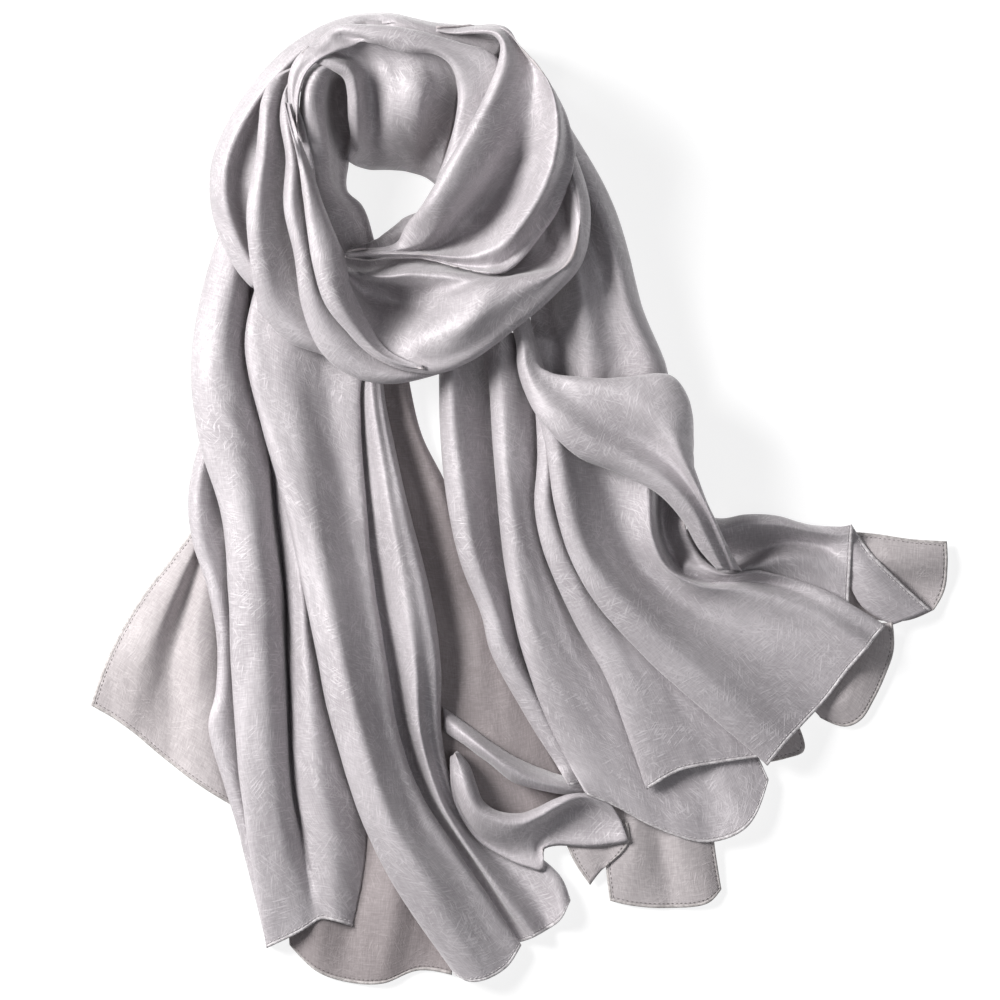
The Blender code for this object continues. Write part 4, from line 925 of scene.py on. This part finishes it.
def fine_relief(material, shader, height):
    """Relief of the threads, which follows the height."""
    bump = add_node(material, "ShaderNodeBump")
    bump.inputs["Strength"].default_value = BUMP_STRENGTH
    bump.inputs["Distance"].default_value = BUMP_DEPTH
    join(material, height, bump.inputs["Height"])
    join(material, bump.outputs["Normal"], shader.inputs["Normal"])


def crushed_glint_lines(material, place, turn):
    """Short scratches near one direction where satin is crushed: relief and painted glints."""
    run = stretched_noise(material, place, turn, *SCRATCHES)
    line = remapped(material, run, *SCRATCH_RANGE, 0.0, 1.0)
    patch = stretched_noise(material, place, turn + PATCH_TURN, *SCRATCH_PATCHES)
    return combined(
        material, "MULTIPLY", line, remapped(material, patch, *PATCH_RANGE, 0.0, 1.0))


def cloth_finish(name, dark, light, rough, metal, sheen, crush, weave):
    """Woven cloth with slubs both ways, crushed lines lightened as painted glints, and patches
    of tone.
    """
    material, shader = new_finish(name)
    place = add_node(material, "ShaderNodeUVMap", uv_map="cloth").outputs["UV"]
    warp = stretched_noise(material, place, 0.0, *WARP)
    weft = stretched_noise(material, place, 0.0, *WEFT)
    cloud = stretched_noise(material, place, CLOUD_TURN, *CLOUDS)
    threads = combined(material, "ADD", warp, weft)
    lines = crushed_glint_lines(material, place, SCRATCH_TURNS[0])
    for turn in SCRATCH_TURNS[1:]:
        lines = combined(material, "MAXIMUM", lines, crushed_glint_lines(material, place, turn))
    grain = combined(material, "MULTIPLY", combined(material, "SUBTRACT", threads, 1.0), weave)
    tone = combined(
        material, "ADD", grain, combined(material, "MULTIPLY", cloud, CLOUD_SHARE))
    # The crushed lines lighten the tone: painted glints over their real relief.
    tone = combined(material, "ADD", tone, combined(material, "MULTIPLY", lines, crush))
    tone = remapped(material, tone, 0.0, TONE_TOP, 0.0, 1.0)
    two_tones(material, shader, tone, dark, light)
    roughness = remapped(material, tone, 0.0, 1.0, rough + ROUGH_SWING, rough - ROUGH_SWING)
    join(material, roughness, shader.inputs["Roughness"])
    shader.inputs["Metallic"].default_value = metal
    shader.inputs["Sheen Weight"].default_value = sheen
    shader.inputs["Sheen Roughness"].default_value = SHEEN_ROUGH
    fine_relief(material, shader, combined(material, "ADD", threads, lines))
    return material


def edge_finish(name, dark, light, rough):
    """Hem and thread: the same cloth rolled tight, with short uneven tones."""
    material, shader = new_finish(name)
    noise = speckled_noise(material, *SPECKLES)
    tone = remapped(material, noise, *SPECKLE_RANGE, 0.0, 1.0)
    two_tones(material, shader, tone, dark, light)
    shader.inputs["Roughness"].default_value = rough
    fine_relief(material, shader, noise)
    return material


def floor_finish():
    """Nearly white floor, evenly lit from within so that only soft shadows show."""
    material, shader = new_finish("pale floor")
    noise = speckled_noise(material, *FLOOR_CLOUDS)
    two_tones(material, shader, noise, FLOOR_DARK, FLOOR_LIGHT)
    shader.inputs["Roughness"].default_value = FLOOR_ROUGH
    shader.inputs["Emission Color"].default_value = (1.0, 1.0, 1.0, 1.0)
    shader.inputs["Emission Strength"].default_value = FLOOR_GLOW
    return material


def spline(points, wanted):
    """Smooth curve through the points, read at the wanted shares of their parameter."""
    points = np.asarray(points, float)
    if len(points) == 2:
        share = np.asarray(wanted)[:, None]
        return points[0] * (1 - share) + points[1] * share
    steps = np.sqrt(np.maximum(np.linalg.norm(np.diff(points, axis=0), axis=1), 1e-6))
    knots = np.concatenate([[0], np.cumsum(steps)])
    slopes = np.diff(points, axis=0) / steps[:, None]
    tangents = np.empty_like(points)
    weight = (steps[1:] / (steps[1:] + steps[:-1]))[:, None]
    tangents[1:-1] = slopes[:-1] * weight + slopes[1:] * (1 - weight)
    tangents[0] = slopes[0] * 1.5 - tangents[1] * 0.5
    tangents[-1] = slopes[-1] * 1.5 - tangents[-2] * 0.5
    at = np.clip(np.asarray(wanted), 0, 1) * knots[-1]
    left = np.clip(np.searchsorted(knots, at, side="right") - 1, 0, len(steps) - 1)
    span = steps[left][:, None]
    part = ((at - knots[left]) / steps[left])[:, None]
    return (
        points[left] * (2 * part**3 - 3 * part**2 + 1)
        + tangents[left] * span * (part**3 - 2 * part**2 + part)
        + points[left + 1] * (3 * part**2 - 2 * part**3)
        + tangents[left + 1] * span * (part**3 - part**2)
    )


def even_curve(path, count):
    """The path's curve read at places that lie the same length apart."""
    fine = spline(path, np.linspace(0, 1, CURVE_POINTS))
    run = np.concatenate([[0], np.cumsum(np.linalg.norm(np.diff(fine, axis=0), axis=1))])
    places = np.linspace(0, run[-1], count)
    return np.stack([np.interp(places, run, fine[:, i]) for i in range(fine.shape[1])], 1)


def run_length(path):
    """Length of the path's curve."""
    fine = spline(path, np.linspace(0, 1, LENGTH_POINTS))
    return float(np.linalg.norm(np.diff(fine, axis=0), axis=1).sum())


def even_heights(heights, share):
    """Smooth height along a fold, from its heights at even shares of its run."""
    knots = np.column_stack([np.linspace(0, 100, len(heights)), heights])
    fine = spline(knots, np.linspace(0, 1, CURVE_POINTS))
    return np.interp(np.asarray(share) * 100, fine[:, 0], fine[:, 1])


def blurred(values, turns, axis=0):
    """Values evened out with their neighbours along one axis."""
    count = values.shape[axis]
    for _ in range(turns):
        wide = [(0, 0)] * values.ndim
        wide[axis] = (1, 1)
        padded = np.pad(values, wide, mode="edge")
        before = np.take(padded, range(count), axis=axis)
        after = np.take(padded, range(2, count + 2), axis=axis)
        values = (before + 2 * values + after) / 4
    return values


class Pile:
    """Map of the greatest height of the cloth laid so far, on square cells."""

    def __init__(self):
        self.cells = int(MAP_SPAN / CELL)
        self.height = np.full((self.cells, self.cells), -GAP)
        self.keep = np.maximum

    def index(self, plan):
        """Cell under each point."""
        place = np.round((plan + MAP_SPAN / 2) / CELL).astype(int)
        return np.clip(place, 0, self.cells - 1)

    def at(self, plan):
        """Height on the map at each point."""
        place = self.index(plan)
        return self.height[place[..., 0], place[..., 1]]

    def add(self, points):
        """Puts points on the map, each on its own cell and the four beside it."""
        place = self.index(points[..., :2].reshape(-1, 2))
        level = points[..., 2].reshape(-1)
        for move in ((0, 0), (1, 0), (-1, 0), (0, 1), (0, -1)):
            near = np.clip(place + move, 0, self.cells - 1)
            self.keep.at(self.height, (near[:, 0], near[:, 1]), level)


class Ceiling(Pile):
    """Map of the least height of the cloth's undersides, very high where none is."""

    def __init__(self):
        super().__init__()
        self.height[:] = MAP_SPAN
        self.keep = np.minimum


def rolled_edge(edge, crest, pile):
    """Tuck, belly and shoulder of cloth that turns under along its edge."""
    inward = crest[:, :2] - edge[:, :2]
    reach = np.linalg.norm(inward, axis=1)[:, None]
    inward = blurred(inward / np.maximum(reach, 1e-6), ROLL_WAY_TURNS)
    reach = blurred(reach, ROLL_WIDTH_TURNS)
    rest = np.maximum(pile.at(edge[:, :2]) + GAP + CLOTH, edge[:, 2])
    for _ in range(BRIDGE_TURNS):
        padded = np.pad(rest, BRIDGE_REACH, mode="edge")
        before = padded[:-2 * BRIDGE_REACH]
        after = padded[2 * BRIDGE_REACH:]
        rest = np.maximum(rest, (before + after) / 2)
    rest = blurred(rest, ROLL_BED_TURNS)
    top = np.maximum(crest[:, 2], rest + ROLL_LEAST)
    inset = np.minimum(TUCK, reach * TUCK_SHARE)
    rows = []
    for shift, lift in ((inset, 0.0), (0.0, ROLL_BELLY), (inset, ROLL_SHOULDER)):
        plan = edge[:, :2] + inward * shift
        rows.append(np.column_stack([plan, rest + (top - rest) * lift]))
    return rows


def fold_net(folds, pile):
    """Rows of points, one for each fold line, with the turned-under edges added."""
    longest = max(run_length(path) for *_, path in folds)
    count = max(ALONG_FEWEST, round(longest / ALONG_STEP) + 1)
    share = np.linspace(0, 1, count)
    lines = []
    for _, _, heights, path in folds:
        plan = even_curve(path, count)
        lines.append(np.column_stack([plan, even_heights(heights, share)]))
    rows = list(lines)
    if folds[0][1] == ROLL:
        rows = rolled_edge(lines[0], lines[1], pile) + rows[1:]
    if folds[-1][1] == ROLL:
        rows = rows[:-1] + rolled_edge(lines[-1], lines[-2], pile)[::-1]
    return np.array(rows)


def surface_net(rows):
    """Even net of points across the fold lines."""
    width = np.linalg.norm(np.diff(rows, axis=0), axis=2).mean(axis=1)
    share = np.concatenate([[0], np.cumsum(np.sqrt(width))])
    share /= share[-1]
    wanted = [0.0]
    for number, reach in enumerate(width):
        parts = max(1, round(reach / ACROSS_STEP))
        gap = share[number + 1] - share[number]
        wanted += [share[number] + gap * (k + 1) / parts for k in range(parts)]
    return np.stack([section(rows[:, j], share, wanted) for j in range(rows.shape[1])], 1)


def section(points, share, wanted):
    """Curve through one section's points with its knots at the given shares."""
    own = np.sqrt(np.maximum(np.linalg.norm(np.diff(points, axis=0), axis=1), 1e-6))
    own = np.concatenate([[0], np.cumsum(own)]) / own.sum()
    return spline(points, np.interp(wanted, share, own))


def net_normals(net):
    """Way up off the cloth at every point of the net."""
    normal = np.cross(np.gradient(net, axis=0), np.gradient(net, axis=1))
    normal = normal / np.maximum(np.linalg.norm(normal, axis=2, keepdims=True), 1e-9)
    return -normal if normal[..., 2].sum() < 0 else normal


def net_measure(net):
    """Distances across and along the cloth at every point of the net."""
    across = np.linalg.norm(np.diff(net, axis=0), axis=2)
    across = np.concatenate([np.zeros((1, net.shape[1])), np.cumsum(across, axis=0)])
    along = np.linalg.norm(np.diff(net, axis=1), axis=2).mean(axis=0)
    along = np.concatenate([[0], np.cumsum(along)])
    return across, np.broadcast_to(along, net.shape[:2])


def slack(net, chance):
    """Small uneven waves of loose cloth, long down the run and short across it."""
    across, along = net_measure(net)
    wave = np.zeros(net.shape[:2])
    for length_across, length_along, height in WAVES:
        for _ in range(WAVE_COPIES):
            turn, phase, drift = chance.uniform(0, FULL_TURN, 3)
            spread = chance.uniform(*WAVE_SPREAD)
            lean = chance.uniform(-WAVE_LEAN, WAVE_LEAN)
            bend = WAVE_BEND * np.sin(along / WAVE_BEND_RUN + drift)
            ahead = (across + bend + lean * along) / (length_across * spread)
            swing = WAVE_SWING * np.sin(FULL_TURN * along / length_along + phase)
            wave += height / WAVE_COPIES * np.sin(FULL_TURN * ahead + turn + swing)
    return wave


def pressed(net, creases):
    """Depth of the creases at every point of the net."""
    depth = np.zeros(net.shape[:2])
    plan = net[..., :2].reshape(-1, 2)
    for width, drop, path in creases:
        line = even_curve(path, CREASE_POINTS)
        away = np.linalg.norm(plan[:, None] - line[None], axis=2)
        nearest = away.argmin(axis=1)
        reach = away[np.arange(len(plan)), nearest]
        along = nearest / (CREASE_POINTS - 1) * CREASE_RUN + CREASE_START
        fade = np.sin(np.pi * along) ** CREASE_FADE
        depth += (drop * fade * np.exp(-((reach / width) ** 2))).reshape(depth.shape)
    return depth


def finer(net, times):
    """The net with straight steps put between its points both ways."""
    for axis in (0, 1):
        parts = np.linspace(0, net.shape[axis] - 1, (net.shape[axis] - 1) * times + 1)
        left = np.minimum(parts.astype(int), net.shape[axis] - 2)
        share = (parts - left).reshape((-1, 1, 1) if axis == 0 else (1, -1, 1))
        net = np.take(net, left, axis=axis) * (1 - share) + np.take(
            net, left + 1, axis=axis) * share
    return net


def lay_on(net, pile):
    """Raises the net's points until its wall clears everything beneath it."""
    rows, columns = net.shape[:2]
    for _ in range(LAY_ROUNDS):
        under = net - net_normals(net) * CLOTH
        need = np.zeros((rows, columns))
        for face in (under, net):
            dense = finer(face, LAY_STEPS)
            short = pile.at(dense[..., :2]) + GAP - dense[..., 2]
            short = np.pad(short, 1, mode="edge")
            for i in range(3):
                for j in range(3):
                    block = short[
                        i:i + LAY_STEPS * (rows - 1) + 1:LAY_STEPS,
                        j:j + LAY_STEPS * (columns - 1) + 1:LAY_STEPS]
                    need = np.maximum(need, block)
        if need.max() < LAY_CLEAR:
            break
        lift = need
        for _ in range(LAY_ROUNDS):
            lift = np.maximum(need, blurred(blurred(lift, LAY_TURNS, 0), LAY_TURNS, 1))
        net = net.copy()
        net[..., 2] += lift
    return net


def border_loop(rows, columns):
    """The net's border points in order, once round."""
    return np.concatenate([
        np.arange(columns), np.arange(1, rows) * columns + columns - 1,
        (rows - 1) * columns + np.arange(columns - 2, -1, -1),
        np.arange(rows - 2, 0, -1) * columns])


def outward(points, faces):
    """The faces, turned round if they face into their body."""
    corners = points[faces]
    cross = np.cross(corners[:, 1] - corners[:, 0], corners[:, 2] - corners[:, 0])
    return faces if np.einsum("ij,ij->", corners[:, 0], cross) > 0 else faces[:, ::-1]


def mesh_object(name, points, faces, marks, materials, measures):
    """Object in metres over the origin, whose pattern follows the measures of the cloth."""
    mesh = bpy.data.meshes.new(name)
    place = (points - np.array([MIDDLE[0], MIDDLE[1], 0.0])) * MM
    mesh.from_pydata(place.tolist(), [], [tuple(one) for one in faces])
    for material in materials:
        mesh.materials.append(material)
    mesh.polygons.foreach_set("material_index", np.array(marks, np.int32))
    mesh.polygons.foreach_set("use_smooth", np.ones(len(mesh.polygons), bool))
    layer = mesh.uv_layers.new(name="cloth")
    corner = np.empty(len(mesh.loops), np.int32)
    mesh.loops.foreach_get("vertex_index", corner)
    layer.data.foreach_set("uv", (measures[corner] * MM).reshape(-1))
    mesh.update()
    made = bpy.data.objects.new(name, mesh)
    bpy.context.scene.collection.objects.link(made)
    return made


def cloth_object(name, net, up, finishes):
    """Thin closed wall: the cloth's upper face, its lower face and the rim."""
    rows, columns = net.shape[:2]
    below = net - net_normals(net) * CLOTH
    points = np.concatenate([net.reshape(-1, 3), below.reshape(-1, 3)])
    first = (np.arange(rows - 1)[:, None] * columns + np.arange(columns - 1)).reshape(-1)
    upper = np.stack([first, first + 1, first + columns + 1, first + columns], 1)
    lower = upper[:, ::-1] + rows * columns
    border = border_loop(rows, columns)
    after = np.roll(border, -1)
    rim = np.stack([border, border + rows * columns, after + rows * columns, after], 1)
    faces = outward(points, np.concatenate([upper, lower, rim]))
    marks = [0] * len(upper) + [1] * len(lower) + [0] * len(rim)
    across, along = net_measure(net)
    flat = np.column_stack([across.reshape(-1), along.reshape(-1)])
    down = "reverse" if up == "face" else "face"
    return mesh_object(
        name, points, faces, marks, (finishes[up], finishes[down]),
        np.concatenate([flat, flat]))


def border_of(net, side):
    """One border's points, the way into the cloth and the way up off it."""
    normal = net_normals(net)
    if side == "first":
        line, inside, up = net[0], net[1], normal[0]
    elif side == "last":
        line, inside, up = net[-1], net[-2], normal[-1]
    else:
        line, inside, up = net[:, -1], net[:, -2], normal[:, -1]
    inward = inside - line
    inward = inward / np.maximum(np.linalg.norm(inward, axis=1, keepdims=True), 1e-9)
    run = np.concatenate([[0], np.cumsum(np.linalg.norm(np.diff(line, axis=0), axis=1))])
    places = np.linspace(0, run[-1], max(HEM_FEWEST, int(run[-1] / HEM_STEP)))
    spread = [
        np.stack([np.interp(places, run, way[:, i]) for i in range(3)], 1)
        for way in (line, blurred(inward, BORDER_TURNS), blurred(up, BORDER_TURNS))]
    return places, *spread


def hem_tube(points, faces, line, inward, up):
    """Flattened roll of cloth along a border."""
    base = len(points)
    for spot, into, rise in zip(line, inward, up):
        for turn in np.linspace(0, 2 * np.pi, HEM_SIDES, endpoint=False):
            points.append(
                spot + into * (HEM_WIDTH / 2 * (HEM_OVERLAP + np.cos(turn)))
                + rise * (HEM_HEIGHT / 2 * np.sin(turn) - CLOTH / 2))
    for k in range(len(line) - 1):
        for i in range(HEM_SIDES):
            a = base + k * HEM_SIDES
            j = (i + 1) % HEM_SIDES
            faces.append((a + i, a + j, a + HEM_SIDES + j, a + HEM_SIDES + i))
    last = base + (len(line) - 1) * HEM_SIDES
    faces.append(tuple(base + i for i in reversed(range(HEM_SIDES))))
    faces.append(tuple(last + i for i in range(HEM_SIDES)))


def stitch_row(points, faces, places, line, inward, up):
    """Small pointed stitches, one after another, just inside the hem."""
    for number in range(1, int(places[-1] / STITCH_PITCH)):
        spot = number * STITCH_PITCH
        after = spot + STITCH_AHEAD
        at, ahead, into, rise = [
            np.array([np.interp(where, places, way[:, i]) for i in range(3)])
            for where, way in ((spot, line), (after, line), (spot, inward), (spot, up))]
        course = (ahead - at) / max(np.linalg.norm(ahead - at), 1e-9)
        centre = at + into * STITCH_INSET + rise * STITCH_LIFT
        base = len(points)
        for end in (-1, 1):
            points.append(centre + course * (STITCH_LENGTH / 2 * end))
        for end in (-0.5, 0.5):
            for side, lift in STITCH_CORNERS:
                points.append(
                    centre + course * (STITCH_LENGTH / 2 * end)
                    + into * (STITCH_WIDTH / 2 * side) + rise * (STITCH_WIDTH / 2 * lift))
        for i in range(4):
            j = (i + 1) % 4
            faces.append((base, base + 2 + j, base + 2 + i))
            faces.append((base + 2 + i, base + 2 + j, base + 6 + j, base + 6 + i))
            faces.append((base + 1, base + 6 + i, base + 6 + j))


def hem_object(name, net, sides, up, finishes):
    """Rolled hem along the named borders, with its row of stitches."""
    shows = "face" if up == "face" else "reverse"
    points = []
    tubes = []
    stitches = []
    for side in sides:
        places, line, inward, rise = border_of(net, side)
        hem_tube(points, tubes, line, inward, rise)
        stitch_row(points, stitches, places, line, inward, rise)
    marks = [0] * len(tubes) + [1] * len(stitches)
    points = np.array(points)
    made = mesh_object(
        name, points, tubes + stitches, marks,
        (finishes["hem_" + shows], finishes["thread_" + shows]), points[:, :2])
    fix_normals(made)
    return made


def fix_normals(piece):
    """Turns a piece's faces to look out of it."""
    bpy.ops.object.select_all(action="DESELECT")
    piece.select_set(True)
    bpy.context.view_layer.objects.active = piece
    bpy.ops.object.mode_set(mode="EDIT")
    bpy.ops.mesh.select_all(action="SELECT")
    bpy.ops.mesh.normals_make_consistent(inside=False)
    bpy.ops.object.mode_set(mode="OBJECT")
    piece.select_set(False)


def core_tops(plans, ceiling):
    """Height of the pressed layers at every point, clear of all the cloth near it."""
    room = np.array([ceiling.at(plan) for plan in plans]) - CORE_CLEAR
    padded = np.pad(room, CORE_NEAR, mode="edge")
    moves = range(2 * CORE_NEAR + 1)
    room = np.array([
        padded[i:i + room.shape[0], j:j + room.shape[1]]
        for i in moves for j in moves]).min(axis=0)
    return np.maximum(blurred(room, 1, 1) - CORE_SINK, CORE_LEAST)


def layered_edge(start, way, high):
    """Points up one side, where every layer steps in above the one below it."""
    lift = high / CORE_LAYERS
    steps = []
    for layer in range(CORE_LAYERS):
        low = high * layer / CORE_LAYERS
        inset = CORE_STEP * layer
        for share, out in LAYER_ROUND:
            steps.append((*(start + way * (inset + out)), low + lift * share))
    return steps


def core_sections(sides, plans, top):
    """Closed outline of every section: one edge, the top, the other edge, the base."""
    inward = sides[1] - sides[0]
    inward = inward / np.maximum(np.linalg.norm(inward, axis=1, keepdims=True), 1e-6)
    inside = range(CORE_RIM, CORE_ACROSS - CORE_RIM)
    sections = []
    for k, way in enumerate(inward):
        left = layered_edge(sides[0][k], way, min(top[0, k], top[1, k]))
        right = layered_edge(sides[1][k], -way, min(top[-1, k], top[-2, k]))
        upper = [(*plans[i][k], top[i, k]) for i in inside]
        base = [(*plans[i][k], 0.0) for i in reversed(inside)]
        sections.append(left + upper + right[::-1] + base)
    return sections


def core_object(name, outer, inner, ceiling, finish):
    """Pressed layers under the cloth, whose folds step in one above another."""
    ring = outer[0] == outer[-1]
    count = max(CORE_FEWEST, round(run_length(outer) / CORE_SPACING))
    sides = [even_curve(side, count) for side in (outer, inner)]
    plans = [
        sides[0] * (1 - share) + sides[1] * share
        for share in np.linspace(0, 1, CORE_ACROSS)]
    sections = core_sections(sides, plans, core_tops(plans, ceiling))
    around = len(sections[0])
    if ring:
        sections.pop()
    points = np.array(sections).reshape(-1, 3)
    faces = []
    for k in range(len(sections) if ring else len(sections) - 1):
        a = k * around
        b = (k + 1) % len(sections) * around
        for i in range(around):
            j = (i + 1) % around
            faces.append((a + i, a + j, b + j, b + i))
    if not ring:
        faces.append(tuple(range(around)))
        faces.append(tuple(range(len(points) - around, len(points))))
    made = mesh_object(
        name, points, faces, [0] * len(faces), (finish,), points[:, :2] + points[:, 2:])
    fix_normals(made)
    return made


def laid_net(name, folds, pile, ceiling, chance):
    """The stretch's net with its slack and creases, laid on what is there already."""
    net = surface_net(fold_net(folds, pile))
    normal = net_normals(net)
    depth = slack(net, chance) - pressed(net, CREASES.get(name, ()))
    net = lay_on(net + normal * depth[..., None], pile)
    pile.add(finer(net, MAP_STEPS))
    under = net - net_normals(net) * CLOTH
    ceiling.add(finer(under, MAP_STEPS))
    return net


def dress_stretch(name, up, hems, net, finishes):
    """The stretch's shell and its hem, in place of its solid."""
    cloth = cloth_object(name + "_cloth", net, up, finishes)
    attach(cloth, "root")
    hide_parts(PART_OF.get(name, name))
    if hems:
        hem = hem_object(name + "_hem", net, hems, up, finishes)
        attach(hem, "root")


def main():
    """Sets up the studio, then lays every stretch from the surface upwards."""
    place_camera()
    light_studio()
    bpy.ops.object.select_all(action="DESELECT")
    lay_floor()
    finishes = {key: cloth_finish(*look) for key, *look in CLOTH_FINISHES}
    finishes.update({key: edge_finish(*look) for key, *look in EDGE_FINISHES})
    pile = Pile()
    ceiling = Ceiling()
    chance = np.random.default_rng(SLACK_SEED)
    for name, up, hems, rests_on, folds in STRETCHES:
        net = laid_net(name, folds, pile, ceiling, chance)
        dress_stretch(name, up, hems, net, finishes)
    for name, outer, inner in CORES:
        core = core_object(name + "_folded", outer, inner, ceiling, finishes["reverse"])
        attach(core, "root")
        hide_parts(name)


main()
